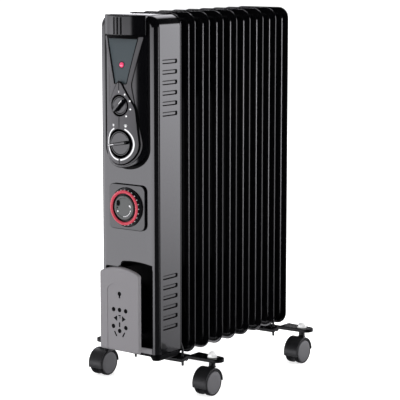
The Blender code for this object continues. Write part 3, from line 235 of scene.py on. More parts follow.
def arched(half, bottom, shoulder, peak, corner, crown_corner=0.0):
    """A plate outline with a shallow arch on top."""
    rise = peak - shoulder
    bow = (half ** 2 + rise ** 2) / (2 * rise)
    reach = math.degrees(math.asin(half / bow))
    top = arc((0, peak - bow), bow, 90 - reach, 90 + reach, 24)
    corners = [(-half, bottom, corner), (half, bottom, corner)]
    corners += [(*top[0], crown_corner)] + [(x, z, 0) for x, z in top[2:-2]] + [(*top[-1], crown_corner)]
    return rounded(corners)


def mirrored(right_side):
    """A closed outline from its right side, listed from the bottom up."""
    return right_side + [(-x, z) for x, z in reversed(right_side) if x > 1e-6]


def grown(loop, by):
    """The outline with every point moved outwards along its own normal."""
    turn = 1 if signed_area(loop) > 0 else -1
    points = []
    for index, point in enumerate(loop):
        here = Vector(point)
        before = (here - Vector(loop[index - 1])).normalized()
        after = (Vector(loop[(index + 1) % len(loop)]) - here).normalized()
        along = (before + after).normalized()
        normal = Vector((along.y, -along.x)) * turn
        points.append(tuple(here + normal * by))
    return points


def signed_area(loop):
    return sum(x0 * z1 - x1 * z0 for (x0, z0), (x1, z1) in zip(loop, loop[1:] + loop[:1])) / 2


# ---------------------------------------------------------------- meshes
def show(name, mesh, finish, body="root", stands_for=(), split=35):
    """The mesh as a piece of the object, smooth except at its edges."""
    obj = bpy.data.objects.new(name, mesh)
    bpy.context.scene.collection.objects.link(obj)
    if not mesh.materials:
        for material in finish if isinstance(finish, (list, tuple)) else [finish]:
            mesh.materials.append(material)
    mesh.shade_smooth()
    mesh.set_sharp_from_angle(angle=math.radians(split))
    weighted = obj.modifiers.new("face_weighted_normals", "WEIGHTED_NORMAL")
    weighted.keep_sharp = True
    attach(obj, body)
    if stands_for:
        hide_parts(*stands_for)
    return obj


def from_work(name, work):
    mesh = bpy.data.meshes.new(name)
    work.to_mesh(mesh)
    work.free()
    return mesh


def second_finish(work, chosen):
    """Mark the faces whose normal is chosen for the second finish."""
    work.normal_update()
    for face in work.faces:
        if chosen(face.normal):
            face.material_index = 1
    return work


def flat_plate(loops, thickness, bevel, steps=3):
    """A filled outline with holes, its edges rounded, centred on z = 0 of its own space."""
    curve = bpy.data.curves.new("outline", "CURVE")
    curve.dimensions = "2D"
    curve.fill_mode = "BOTH"
    curve.extrude = thickness / 2 - bevel
    curve.bevel_depth = bevel
    curve.bevel_resolution = steps
    curve.offset = -bevel
    for index, loop in enumerate(loops):
        points = list(loop)
        if (signed_area(points) > 0) == (index > 0):
            points.reverse()
        spline = curve.splines.new("POLY")
        spline.points.add(len(points) - 1)
        for point, (x, z) in zip(spline.points, points):
            point.co = (x, z, 0, 1)
        spline.use_cyclic_u = True
    holder = bpy.data.objects.new("outline", curve)
    bpy.context.scene.collection.objects.link(holder)
    mesh = bpy.data.meshes.new_from_object(holder.evaluated_get(bpy.context.evaluated_depsgraph_get()))
    bpy.data.objects.remove(holder, do_unlink=True)
    bpy.data.curves.remove(curve)
    work = bmesh.new()
    work.from_mesh(mesh)
    bpy.data.meshes.remove(mesh)
    bmesh.ops.remove_doubles(work, verts=work.verts, dist=0.01 * MM)
    bmesh.ops.recalc_face_normals(work, faces=work.faces)
    return work


def sliced(work, axis, spacing, reach):
    """Cut a mesh by evenly spaced planes across an axis, so that it can be bent along it."""
    normal = Vector((1, 0, 0)) if axis == "x" else Vector((0, 1, 0))
    count = int(reach / spacing)
    for step in range(-count, count + 1):
        geometry = work.verts[:] + work.edges[:] + work.faces[:]
        bmesh.ops.bisect_plane(work, geom=geometry, dist=1e-7, plane_co=normal * (step * spacing), plane_no=normal)
    return work


def bow_depth(radius, centre_y):
    """Front surface of a bowed moulding: the Y at each X."""
    return lambda x: centre_y - math.sqrt(max(radius ** 2 - x ** 2, 1e-9))


def front_plate(loops, front, thickness, bevel, back_y=None, steps=3):
    """A plate seen from the front. front is its face's Y, or a function of X for a bowed one."""
    work = flat_plate(loops, thickness, bevel, steps)
    if callable(front):
        sliced(work, "x", 1.6 * MM, max(abs(v.co.x) for v in work.verts))
    for vert in work.verts:
        x, z, out = vert.co
        face_y = front(x) if callable(front) else front
        vert.co = (x, face_y + thickness / 2 - out, z)
    if back_y is not None:
        geometry = work.verts[:] + work.edges[:] + work.faces[:]
        bmesh.ops.bisect_plane(work, geom=geometry, dist=1e-7, plane_co=(0, back_y, 0), plane_no=(0, 1, 0),
                               clear_outer=True)
    return work


def turned(profile, count=64):
    """A body turned about local Z from (radius, height) points listed from the top down its outer side."""
    work = bmesh.new()
    verts = [work.verts.new((radius, 0, height)) for radius, height in profile]
    edges = [work.edges.new(pair) for pair in zip(verts, verts[1:])]
    bmesh.ops.spin(work, geom=verts + edges, axis=(0, 0, 1), cent=(0, 0, 0), dvec=(0, 0, 0), angle=TAU, steps=count,
                   use_duplicate=False)
    bmesh.ops.remove_doubles(work, verts=work.verts, dist=0.005 * MM)
    bmesh.ops.recalc_face_normals(work, faces=work.faces)
    return work


def soft_profile(points, radius, steps=3):
    """The profile with its inner corners rounded."""
    done = [points[0]]
    for before, here, after in zip(points, points[1:], points[2:]):
        a, b, c = Vector(before), Vector(here), Vector(after)
        reach = min(radius, (a - b).length * 0.45, (c - b).length * 0.45)
        start, end = b + (a - b).normalized() * reach, b + (c - b).normalized() * reach
        for step in range(steps + 1):
            t = step / steps
            done.append(tuple(start.lerp(b, t).lerp(b.lerp(end, t), t)))
    done.append(points[-1])
    return done


def moved(work, matrix):
    bmesh.ops.transform(work, matrix=matrix, verts=work.verts)
    return work


def merged(*works):
    """Several meshes as one."""
    mesh = bpy.data.meshes.new("merged")
    total = bmesh.new()
    for work in works:
        work.to_mesh(mesh)
        total.from_mesh(mesh)
        work.free()
    bpy.data.meshes.remove(mesh)
    return total


def facing_front(x, y, z, roll=0.0):
    """Local Z turned to -Y and local X to the right, then rolled about +Y."""
    return Matrix.Translation((x, y, z)) @ Matrix.Rotation(-roll, 4, "Y") @ Matrix.Rotation(math.pi / 2, 4, "X")


def tube(points, radius, sides=16):
    """A round wire along points."""
    curve = bpy.data.curves.new("wire", "CURVE")
    curve.dimensions = "3D"
    curve.bevel_depth = radius
    curve.bevel_resolution = sides // 4
    curve.use_fill_caps = True
    spline = curve.splines.new("POLY")
    spline.points.add(len(points) - 1)
    for point, co in zip(spline.points, points):
        point.co = (*co, 1)
    holder = bpy.data.objects.new("wire", curve)
    bpy.context.scene.collection.objects.link(holder)
    mesh = bpy.data.meshes.new_from_object(holder.evaluated_get(bpy.context.evaluated_depsgraph_get()))
    bpy.data.objects.remove(holder, do_unlink=True)
    work = bmesh.new()
    work.from_mesh(mesh)
    bmesh.ops.remove_doubles(work, verts=work.verts, dist=0.01 * MM)
    return work


# ---------------------------------------------------------------- fins
BEAD_WALL = 12              # which strip of the pressed profile is the bead's bright flank, given the stronger-reflecting enamel as a painted highlight
COLLAR_R = 20.0 * MM
HEADER_ZS = (middle("rear_lower_plug").z, middle("filler_plug").z)


def rim_loop(inset, half, bottom, top, corner):
    """A rounded rectangle a given distance inside the fin's edge, always with the same number of points."""
    radius = max(corner - inset, 0.3 * MM)
    w, z0, z1 = max(half - inset, 0.0), bottom + inset, top - inset
    radius = min(radius, max(w, 1e-6))
    points = []
    for cx, cz, first in ((w - radius, z0 + radius, -90), (w - radius, z1 - radius, 0),
                          (-w + radius, z1 - radius, 90), (-w + radius, z0 + radius, 180)):
        points += arc((cx, cz), radius, first, first + 90, 10)
    full = []
    for index, point in enumerate(points):
        full.append(point)
        nxt = points[(index + 1) % len(points)]
        if index % 11 == 10:
            runs = 60 if index in (10, 32) else 8
            full += [(point[0] + (nxt[0] - point[0]) * k / runs, point[1] + (nxt[1] - point[1]) * k / runs)
                     for k in range(1, runs)]
    return full


def pressed_height(inset):
    """Height of one pressed half above the fin's middle plane at a distance from the edge."""
    stations = [(0.0, 0.0), (0.0, 0.45), (0.1, 0.75), (0.35, 1.0), (0.75, 1.1), (3.4, 1.1), (3.9, 0.85), (4.5, 0.85),
                (5.0, 1.1), (9.0, 1.1), (9.45, 1.2), (9.75, 1.7), (9.95, 2.2), (10.7, 4.2),
                (11.1, 4.9), (11.9, 5.4), (13.0, 5.3), (14.2, 5.05)]
    return [(d * MM, h * MM) for d, h in stations] + [(d * MM, 5.0 * MM) for d in inset]


def smooth_step(value, edge0, edge1):
    t = min(max((value - edge0) / (edge1 - edge0), 0.0), 1.0)
    return t * t * (3 - 2 * t)


def fin_mesh(plane_y, front_reach, rear_reach):
    """Two pressed sheets joined at a rim, with a sunk web up the middle and header collars front and back."""
    node_low, node_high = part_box("fin_5")
    half, bottom, top = node_high.x, node_low.z, node_high.z
    stations = pressed_height([15, 18, 21, 24, 27, 30, 33, 36, 39, 42, 45, 48, 51, 54, 57, half / MM])
    work = bmesh.new()
    for side in (-1, 1):
        rings = []
        for inset, height in stations:
            ring = []
            for x, z in rim_loop(inset, half, bottom, top, 20 * MM):
                web = (1 - smooth_step(abs(x), 11 * MM, 19 * MM)) * smooth_step(z, 0.188, 0.206) \
                    * (1 - smooth_step(z, 0.472, 0.490))
                h = height if inset < 14.5 * MM else height - web * 3.4 * MM
                ring.append(work.verts.new((x, plane_y + side * h, z)))
            rings.append(ring)
        for index, (outer, inner) in enumerate(zip(rings, rings[1:])):
            for k in range(len(outer)):
                j = (k + 1) % len(outer)
                face = work.faces.new((outer[k], outer[j], inner[j], inner[k]))
                # The bead's flank takes the stronger-reflecting enamel: painted highlight.
                face.material_index = int(index == BEAD_WALL)
    bmesh.ops.remove_doubles(work, verts=work.verts, dist=0.01 * MM)
    bmesh.ops.dissolve_degenerate(work, edges=work.edges, dist=0.001 * MM)
    bmesh.ops.recalc_face_normals(work, faces=work.faces)
    collars = []
    for z in HEADER_ZS:
        for side, reach in ((-1, front_reach), (1, rear_reach)):
            profile = soft_profile([(COLLAR_R - 4 * MM, reach), (COLLAR_R, reach), (COLLAR_R, 8.5 * MM),
                                    (COLLAR_R + 2.5 * MM, 5.6 * MM), (COLLAR_R + 8 * MM, 4.7 * MM)], 1.5 * MM)
            ring = turned(profile, 40)
            turn = Matrix.Rotation(-side * math.pi / 2, 4, "X")
            collars.append(moved(ring, Matrix.Translation((0, plane_y, z)) @ turn))
    return merged(work, *collars)


def fins():
    gap = 0.15 * MM
    first_plane = middle("fin_5").y - 4 * FIN_PITCH
    for index, node in enumerate(FIN_NAMES):
        plane_y = first_plane + index * FIN_PITCH
        front_reach = plane_y - low(node).y if index == 0 else FIN_PITCH / 2 - gap
        rear_reach = high(node).y - plane_y if index == 8 else FIN_PITCH / 2 - gap
        mesh = from_work("fin", fin_mesh(plane_y, front_reach, rear_reach))
        show("pressed_fin_%d" % (index + 1), mesh, (ENAMEL, BEAD_HIGHLIGHT), "root", [node], split=60)


# ---------------------------------------------------------------- header plugs
def header_plugs():
    """Hexagon socket plugs that close the headers in front and behind."""
    for node, outward in (("upper_front_plug", -1), ("filler_plug", 1), ("rear_lower_plug", 1)):
        box_low, box_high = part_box(node)
        radius = (box_high.x - box_low.x) / 2
        depth = box_high.y - box_low.y
        centre = (box_low + box_high) / 2
        profile = soft_profile([(0, -1.5 * MM), (5 * MM, -1.5 * MM), (5 * MM, 0), (radius - 4 * MM, 0),
                                (radius - 3.6 * MM, -0.5 * MM), (radius - 3.0 * MM, -0.5 * MM), (radius - 2.6 * MM, 0),
                                (radius, 0), (radius, -4.5 * MM), (14 * MM, -4.5 * MM), (14 * MM, -depth), (0, -depth)],
                               0.8 * MM)
        face_y = box_low.y if outward < 0 else box_high.y
        turn = Matrix.Rotation(-outward * math.pi / 2, 4, "X")
        work = moved(turned(profile, 48), Matrix.Translation((centre.x, face_y, centre.z)) @ turn)
        show(node + "_turned", from_work(node, work), STEEL, "root", [node])


# ---------------------------------------------------------------- console
LOUVRE_PITCH = 16.7 * MM
LOUVRE_LENGTH = 39.0 * MM
LOUVRE_HEIGHT = 7.2 * MM
LOUVRE_DEPTH = 2.3 * MM
LOUVRE_GAP = 1.5 * MM
LOUVRE_COUNT = 6
LOUVRE_Y = CONSOLE_FRONT_Y + 34.7 * MM
LOUVRE_GROUPS = (high("console_shell").z - 115.7 * MM, 154.0 * MM)


def louvre_zs():
    return [group + (step - (LOUVRE_COUNT - 1) / 2) * LOUVRE_PITCH for group in LOUVRE_GROUPS
            for step in range(LOUVRE_COUNT)]


def cutter_object(work):
    mesh = from_work("cutter", work)
    obj = bpy.data.objects.new("cutter", mesh)
    bpy.context.scene.collection.objects.link(obj)
    return obj


def cut(target, tools):
    """Exact boolean cuts, applied, with the tools removed."""
    for tool in tools:
        modifier = target.modifiers.new("cut", "BOOLEAN")
        modifier.solver = "EXACT"
        modifier.object = tool
    mesh = bpy.data.meshes.new_from_object(target.evaluated_get(bpy.context.evaluated_depsgraph_get()))
    for thing in [target, *tools]:
        bpy.data.objects.remove(thing, do_unlink=True)
    return mesh


def recess_outline():
    """The recess's opening: an arch off centre to the right, with a lower ledge on its left."""
    tray_low, tray_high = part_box("cord_tray")
    half, bottom, peak = tray_high.x + 0.3 * MM, tray_low.z - 0.3 * MM, tray_high.z + 0.3 * MM
    ledge, step, peak_x, rise = peak - 12 * MM, -17 * MM, 10 * MM, 3.5 * MM
    bow = ((half - peak_x) ** 2 + rise ** 2) / (2 * rise)
    first, last = (math.degrees(math.acos((x - peak_x) / bow)) for x in (half, step))
    arch = arc((peak_x, peak - bow), bow, first, last, 20)
    corners = [(-half, bottom, 4 * MM), (half, bottom, 4 * MM)] + [(x, z, 0) for x, z in arch[:-6]]
    return rounded(corners + [(*arch[-1], 7 * MM), (step, ledge, 0), (-half, ledge, 4 * MM)])


def console_shell():
    """Bent steel wrap with soft corners, front windows and a row of slots in each side."""
    box_low, box_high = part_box("console_shell")
    work = bmesh.new()
    bmesh.ops.create_cube(work, size=1)
    bmesh.ops.scale(work, verts=work.verts, vec=box_high - box_low)
    bmesh.ops.translate(work, verts=work.verts, vec=(box_low + box_high) / 2)

    def at(value, target):
        return abs(value - target) < 1e-6

    top_sides = [e for e in work.edges if all(at(v.co.z, box_high.z) for v in e.verts)
                 and at(e.verts[0].co.x, e.verts[1].co.x)]
    bmesh.ops.bevel(work, geom=top_sides, offset=20 * MM, segments=14, profile=0.5, affect="EDGES")
    front_rim = [e for e in work.edges if all(at(v.co.y, box_low.y) for v in e.verts)
                 and not all(at(v.co.z, box_low.z) for v in e.verts)]
    bmesh.ops.bevel(work, geom=front_rim, offset=10 * MM, segments=8, profile=0.5, affect="EDGES")
    open_sides = [f for f in work.faces if all(at(v.co.y, box_high.y) for v in f.verts)
                  or all(at(v.co.z, box_low.z) for v in f.verts)]
    bmesh.ops.delete(work, geom=open_sides, context="FACES")
    shell = cutter_object(work)
    wall = shell.modifiers.new("sheet", "SOLIDIFY")
    wall.thickness = 1.0 * MM
    wall.offset = -1
    wall.use_even_offset = True

    recess = recess_outline()
    body = 29.3 * MM
    windows = [box_outline(30 * MM, 0.388, 0.565), box_outline(body, TIMER_Z - body, TIMER_Z + body), recess]
    tools = []
    for loop in windows:
        tools.append(cutter_object(front_plate([loop], CONSOLE_FRONT_Y - 10 * MM, 20 * MM, 0.0001 * MM, steps=0)))
    for z in louvre_zs():
        slot = rounded([(-LOUVRE_LENGTH / 2, z - LOUVRE_HEIGHT / 2, 2.6 * MM), (LOUVRE_LENGTH / 2, z - LOUVRE_HEIGHT / 2, 2.6 * MM),
                        (LOUVRE_LENGTH / 2, z + LOUVRE_HEIGHT / 2, 2.6 * MM), (-LOUVRE_LENGTH / 2, z + LOUVRE_HEIGHT / 2, 2.6 * MM)], 4)
        bar = flat_plate([slot], 160 * MM, 0.0001 * MM, 0)
        turn = Matrix.Translation((0, LOUVRE_Y, 0)) @ Matrix.Rotation(math.pi / 2, 4, "Z") @ Matrix.Rotation(math.pi / 2, 4, "X")
        tools.append(cutter_object(moved(bar, turn)))
    mesh = cut(shell, tools)
    show("console_wrap", mesh, ENAMEL, "root", ["console_shell"])

    side_x = box_high.x
    for side, label in ((1, "right"), (-1, "left")):
        pans = []
        for z in louvre_zs():
            pans.append(louvre_pan(side, side_x, z))
        show("louvre_pans_" + label, from_work("louvres", merged(*pans)), ENAMEL, "root", split=70)


def louvre_pan(side, side_x, z):
    """A flap pushed into the wall: closed above and at its ends, open along its lower edge."""
    work = bmesh.new()
    columns, rows = 26, 10
    grid = []
    for i in range(columns + 1):
        u = -math.cos(math.pi * i / columns) * LOUVRE_LENGTH / 2
        line = []
        for j in range(rows + 1):
            v = LOUVRE_HEIGHT / 2 - (LOUVRE_HEIGHT - LOUVRE_GAP) * (1 - math.cos(math.pi / 2 * j / rows))
            ends = smooth_step(LOUVRE_LENGTH / 2 - abs(u), 0, 1.5 * MM)
            above = smooth_step(LOUVRE_HEIGHT / 2 - v, 0, 1.3 * MM)
            depth = LOUVRE_DEPTH * ends * above + 0.04 * MM
            line.append(work.verts.new((side * (side_x - depth), LOUVRE_Y + u, z + v)))
        grid.append(line)
    for i in range(columns):
        for j in range(rows):
            work.faces.new((grid[i][j], grid[i][j + 1], grid[i + 1][j + 1], grid[i + 1][j]))
    bmesh.ops.recalc_face_normals(work, faces=work.faces)
    if work.faces[:][rows * columns // 2].normal.x * side < 0:
        bmesh.ops.reverse_faces(work, faces=work.faces)
    bmesh.ops.solidify(work, geom=work.faces[:], thickness=0.8 * MM)
    return work


def console_bottom():
    """Moulded foot of the console, rounded below."""
    box_low, box_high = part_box("console_bottom_cover")
    corner = 10 * MM
    half = box_high.x
    plan = rounded([(-half, box_high.y, 0), (-half, box_low.y, corner), (half, box_low.y, corner), (half, box_high.y, 0)], 8)
    height = box_high.z - box_low.z
    work = flat_plate([plan], height, 2.4 * MM, 4)
    moved(work, Matrix.Translation((0, 0, (box_low.z + box_high.z) / 2)))
    sliced(work, "x", 3 * MM, half)
    for vert in work.verts:
        if vert.co.z < box_high.z - 3 * MM:
            inwards = smooth_step(49 * MM - abs(vert.co.x), 0, 7 * MM) * smooth_step(-vert.co.y, -box_high.y, -box_low.y)
            vert.co.z += (box_high.z - 2 * MM - vert.co.z) * inwards
    show("console_foot_cover", from_work("foot_cover", work), DULL_BLACK_AND_SHADE, "root",
         ["console_bottom_cover"])
    liner = flat_plate([box_outline(46 * MM, CONSOLE_FRONT_Y + 0.5 * MM, high("cord_tray").y - 2.2 * MM, 1 * MM)],
                       0.3 * MM, 0.1 * MM, 1)
    moved(liner, Matrix.Translation((0, 0, low("cord_tray").z + 1.9 * MM)))
    show("recess_floor_liner", from_work("liner", liner), DULL_BLACK_AND_SHADE)
    sill = low("cord_tray").z + 2.0 * MM
    lip = front_plate([box_outline(48 * MM, sill - 9.0 * MM, sill, 0.8 * MM)], CONSOLE_FRONT_Y - 1.0 * MM,
                      0.6 * MM, 0.2 * MM)
    show("recess_sill", from_work("sill", lip), SATIN)


# ---------------------------------------------------------------- bowed control panel
def indicator_trapezoid(grow=0.0):
    foot, brow = 11.9 * MM + grow, 30.5 * MM + grow
    return [(-foot, 0.5096 - grow), (foot, 0.5096 - grow), (brow, 0.5810 + grow), (-brow, 0.5810 + grow)]


def surround_outline():
    round_side = arc((0, THERMOSTAT_Z), 37 * MM, -90, 12, 24)
    waist = rounded([round_side[-1] + (0,), (20.5 * MM, 0.5085, 30 * MM), (39.3 * MM, 0.5845, 1.5 * MM),
                     (0, 0.5845, 0)], 10)
    return mirrored(round_side + waist[1:])


def teardrop_outline():
    round_side = arc((0, THERMOSTAT_Z), 33 * MM, -90, 8, 24)
    waist = [(side * 27.5 * MM, 0.4715) for side in (1, -1)]
    shoulder = rounded([(*round_side[-1], 0), (*waist[0], 30 * MM), (0, 0.5175, 6 * MM), (*waist[1], 0)], 8)
    return mirrored(round_side + [point for point in shoulder[1:] if point[0] > -1e-6])


def well(z, radius, rim_y, floor_y):
    """The cup that a knob sits in."""
    profile = soft_profile([(radius + 0.8 * MM, 0), (radius, 0), (radius, rim_y - floor_y), (3.6 * MM, rim_y - floor_y)], 0.5 * MM)
    return moved(turned([(r, h) for r, h in profile], 56), facing_front(0, rim_y, z))


def control_panel():
    panel_low, panel_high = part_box("control_panel")
    half, top, bottom, back = panel_high.x, panel_high.z, panel_low.z, panel_high.y
    def tongue(margin, crown):
        """The panel's outline: square above, half an ellipse below."""
        end = [((half + margin) * x, bottom - margin + (32 * MM + margin) * (1 + z))
               for x, z in arc((0, 0), 1, -90, 0, 24)]
        return mirrored(end + [(half + margin, crown), (0, crown)])

    face = tongue(0, top)
    wells = [circle(0, POWER_Z, 17.5 * MM), circle(0, THERMOSTAT_Z, 23.5 * MM, 56)]
    # A dull near-black band round the panel on the console front: painted shade beside the panel's edges.
    shade_band = front_plate([tongue(4.2 * MM, 0.6085)], CONSOLE_FRONT_Y - 0.5 * MM, 0.5 * MM, 0.15 * MM, steps=1)
    show("panel_painted_shade_band", from_work("shade_band_mesh", shade_band), DULL_BLACK_AND_SHADE, "root")

    # Faces turned sideways on the grey surround and teardrop plate take the dull near-black finish: painted shade on
    # their edges.
    def sideways(normal):
        return abs(normal.y) < 0.55

    panel_front = bow_depth(PANEL_BOW_R, BOW_CENTRE_Y)
    work = front_plate([face, *wells, indicator_trapezoid(0.3 * MM)], panel_front, 24 * MM, 1.3 * MM, back)
    show("panel_body", from_work("panel", work), GLOSS, "root", ["control_panel"], split=50)

    surround_front = bow_depth(SURROUND_BOW_R, BOW_CENTRE_Y)
    work = front_plate([surround_outline(), *wells, indicator_trapezoid(0.3 * MM)], surround_front, 2.0 * MM,
                       0.8 * MM)
    show("hourglass_surround", from_work("surround", second_finish(work, sideways)), (DIAL_FACE, DULL_BLACK_AND_SHADE), "root",
         ["panel_surround"], split=50)

    plate_front = bow_depth(DIAL_PLATE_BOW_R, BOW_CENTRE_Y)
    work = front_plate([teardrop_outline(), *wells], plate_front, 1.6 * MM, 0.5 * MM)
    show("teardrop_plate", from_work("dial_plate", second_finish(work, sideways)), (DIAL_FACE, DULL_BLACK_AND_SHADE), "root",
         ["dial_plate"], split=50)

    # The knob wells take the dull near-black finish: painted shade in the recesses round the knobs.
    cups = [well(POWER_Z, 17.5 * MM, plate_front(17 * MM) + 0.4 * MM, CONSOLE_FRONT_Y - 9 * MM),
            well(THERMOSTAT_Z, 23.5 * MM, plate_front(23 * MM) + 0.4 * MM, CONSOLE_FRONT_Y - 9 * MM)]
    show("knob_wells", from_work("wells", merged(*cups)), DULL_BLACK_AND_SHADE, "root")
    panel_marks(plate_front)


def printed(loops, front, thickness=0.12 * MM):
    """Thin print that follows the surface below it."""
    pieces = []
    for loop in loops:
        pieces.append(front_plate([loop] if not isinstance(loop[0], list) else loop, lambda x: front(x) - SKIN, thickness, 0.02 * MM, steps=1))
    return merged(*pieces)


def strip(x, bottom, top, width):
    return [(x - width / 2, bottom), (x + width / 2, bottom), (x + width / 2, top), (x - width / 2, top)]


def ring_arc(centre, inner, outer, first, last, steps=48):
    return arc(centre, outer, first, last, steps) + arc(centre, inner, last, first, steps)


def panel_marks(front):
    """Dots round the switch, the temperature sweep round the thermostat, the fine groove between them as painted shade
    strips, and painted shadow lines round the teardrop plate.
    """
    dots = [circle(21.4 * MM * math.cos(math.radians(a)), POWER_Z + 21.4 * MM * math.sin(math.radians(a)), 1.5 * MM, 16)
            for a in (58, 22, -14, -50)]
    centre = (0, THERMOSTAT_Z)
    sweep = [ring_arc(centre, 24.9 * MM, 27.2 * MM, 66, -86), ring_arc(centre, 24.9 * MM, 27.2 * MM, 266, 114)]
    mark_z = THERMOSTAT_Z + 29.5 * MM
    flake = []
    for angle in (0, 60, 120):
        c, s = math.cos(math.radians(angle)), math.sin(math.radians(angle))
        bar = [(-2.4 * MM, -0.45 * MM), (2.4 * MM, -0.45 * MM), (2.4 * MM, 0.45 * MM), (-2.4 * MM, 0.45 * MM)]
        flake.append([(-12.5 * MM + x * c - z * s, mark_z - 0.5 * MM + x * s + z * c) for x, z in bar])
    sun = [circle(12.5 * MM, mark_z - 1.0 * MM, 1.7 * MM, 20), ring_arc((12.5 * MM, mark_z - 1.0 * MM), 2.5 * MM, 3.1 * MM, 20, 160, 12)]
    tick = [strip(0, POWER_Z + 20.5 * MM, POWER_Z + 23.5 * MM, 1.0 * MM)]
    show("printed_marks", from_work("marks", printed(dots + sweep + flake + sun + tick, front)), PRINT)

    # Dark strips printed on the plate: painted shade of the groove.
    groove = [strip(0, POWER_Z + 24.5 * MM, 0.5150, 1.3 * MM),
              strip(0, THERMOSTAT_Z + 24.5 * MM, POWER_Z - 18.5 * MM, 1.3 * MM),
              strip(0, THERMOSTAT_Z - 32 * MM, THERMOSTAT_Z - 24.5 * MM, 1.3 * MM)]
    show("plate_groove_shade", from_work("grooves", printed(groove, front)), GROOVE_SHADE)

    # Painted shadow lines round the teardrop plate and along the indicator plate's right edge.
    teardrop = teardrop_outline()
    edge = [(12.6 * MM, 0.5096), (30.9 * MM, 0.5812), (32.2 * MM, 0.5812), (13.9 * MM, 0.5096)]
    shadow_lines = printed([[grown(teardrop, 2.0 * MM), grown(teardrop, -0.5 * MM)], edge],
                    bow_depth(SURROUND_BOW_R, BOW_CENTRE_Y))
    show("surround_painted_shadow_lines", from_work("shadow_lines", shadow_lines), GROOVE_SHADE)


def top_grip():
    """Bowed grip: a solid moulding cut by three grooves, with a lip over the indicator plate."""
    grip_low, grip_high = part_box("top_grip")
    grip_front = bow_depth(GRIP_BOW_R, GRIP_CENTRE_Y)
    half = grip_high.x
    outline = box_outline(half, grip_low.z, grip_high.z, 0.8 * MM, 3)
    grooves = []
    for x in (-7.1 * MM, 0, 7.1 * MM):
        grooves.append(box_outline(0.9 * MM, grip_low.z + 1.5 * MM, grip_high.z - 3.5 * MM, 0.85 * MM, 3))
        grooves[-1] = [(x + px, pz) for px, pz in grooves[-1]]
    cap = front_plate([outline, *grooves], grip_front, 24 * MM, 1.2 * MM, grip_high.y)
    core = front_plate([box_outline(half - 2.5 * MM, grip_low.z + 1 * MM, grip_high.z - 1.5 * MM, 0.5 * MM, 2)],
                       lambda x: grip_front(x) + 2.2 * MM, 20 * MM, 0.2 * MM, grip_high.y)
    # The grip's upward faces take the dull near-black finish: painted shade on its top.
    second_finish(cap, lambda normal: normal.z > 0.5)
    show("grip_moulding", from_work("grip", cap), (GLOSS, DULL_BLACK_AND_SHADE), "root", ["top_grip"],
         split=50)
    # A dark wedge printed on the surround under the grip's lip: painted shadow.
    shadow = [(-32 * MM, grip_low.z - 5 * MM), (32 * MM, grip_low.z - 5 * MM), (33.5 * MM, grip_low.z),
              (-33.5 * MM, grip_low.z)]
    gap = printed([shadow], bow_depth(SURROUND_BOW_R, BOW_CENTRE_Y))
    show("finger_gap_painted_shadow", from_work("gap", gap), GROOVE_SHADE)
    show("grip_core", from_work("grip_core", core), MATTE, "root", split=50)


def indicator():
    """Sloping plate, the lamp's black collar and its red lens."""
    tilt = math.radians(4.7)
    mid_z = (0.5810 + 0.5096) / 2
    mid_y = CONSOLE_FRONT_Y - 14.0 * MM
    outward = Vector((0, -math.cos(tilt), math.sin(tilt)))

    def laid(work, thickness):
        matrix = Matrix.Translation(Vector((0, mid_y, mid_z)) - outward * (thickness / 2)) @ Matrix.Rotation(math.pi / 2 - tilt, 4, "X")
        return moved(work, matrix)

    def local(loop):
        return [(x, z - mid_z) for x, z in loop]

    lamp = middle("lamp_lens").z - mid_z
    hole = circle(0, lamp, 5.4 * MM, 32)
    work = laid(flat_plate([local(indicator_trapezoid(-0.2 * MM)), hole], 2.0 * MM, 0.5 * MM, 3), 2.0 * MM)
    show("indicator_slope", from_work("indicator", work), SLOPE_FACE, "root",
         ["indicator_plate"])
    collar = turned(soft_profile([(4.55 * MM, -1.5 * MM), (4.55 * MM, 0.5 * MM), (5.35 * MM, 0.5 * MM), (5.35 * MM, -1.5 * MM)], 0.3 * MM), 40)
    place = Matrix.Translation(Vector((0, mid_y, mid_z))) @ Matrix.Rotation(math.pi / 2 - tilt, 4, "X") @ Matrix.Translation((0, lamp, 0))
    show("lamp_collar", from_work("collar", moved(collar, place)), MATTE, "root")
    dome = arc((0, 0.1 * MM), 4.4 * MM, 90, 0, 10)
    dome = [(x, z * 0.42) for x, z in dome]
    lens = turned([(max(x, 0), z) for x, z in dome] + [(4.4 * MM, -2 * MM), (0, -2 * MM)], 40)
    show("lamp_lens_dome", from_work("lens", moved(lens, place)), LENS, "root", ["lamp_lens"])


# ---------------------------------------------------------------- knobs
def knob(node, label, z, radius, blade_y, angle):
    """A dished dial with a raised, tapering grip blade and its printed pointer line."""
    seat_y = high(node).y
    face = seat_y - (CONSOLE_FRONT_Y - 20.5 * MM)
    rim = soft_profile([(0, face - 0.4 * MM), (radius - 2.6 * MM, face - 0.4 * MM), (radius - 1.8 * MM, face),
                        (radius - 0.2 * MM, face), (radius, face - 1.0 * MM), (radius, 0), (0, 0)], 0.7 * MM)
    dial = turned(rim, 72)
    height = seat_y - blade_y
    half, tail = 3.3 * MM, radius * 0.86
    outline = rounded([(-tail, -half, 2.2 * MM), (tail * 0.9, -half * 0.9, 3 * MM), (radius - 0.5 * MM, 0, 0.5 * MM),
                       (tail * 0.9, half * 0.9, 3 * MM), (-tail, half, 2.2 * MM)], 5)
    blade = flat_plate([outline], height - 3 * MM, 0.9 * MM, 4)
    moved(blade, Matrix.Translation((0, 0, 3 * MM + (height - 3 * MM) / 2)))
    for vert in blade.verts:
        lift = (vert.co.z - face) / (height - face)
        if lift > 0:
            vert.co.y *= 1 - 0.28 * lift
    place = facing_front(0, seat_y, z, angle)
    show(label, from_work(label, moved(merged(dial, blade), place)), GLOSS, node, [node], split=45)
    line = flat_plate([[(radius * 0.30, -0.45 * MM), (radius - 2.2 * MM, -0.45 * MM), (radius - 2.2 * MM, 0.45 * MM),
                        (radius * 0.30, 0.45 * MM)]], 0.12 * MM, 0.02 * MM, 1)
    moved(line, place @ Matrix.Translation((0, 0, height + SKIN)))
    show(label + "_pointer", from_work("pointer", line), PRINT, node)


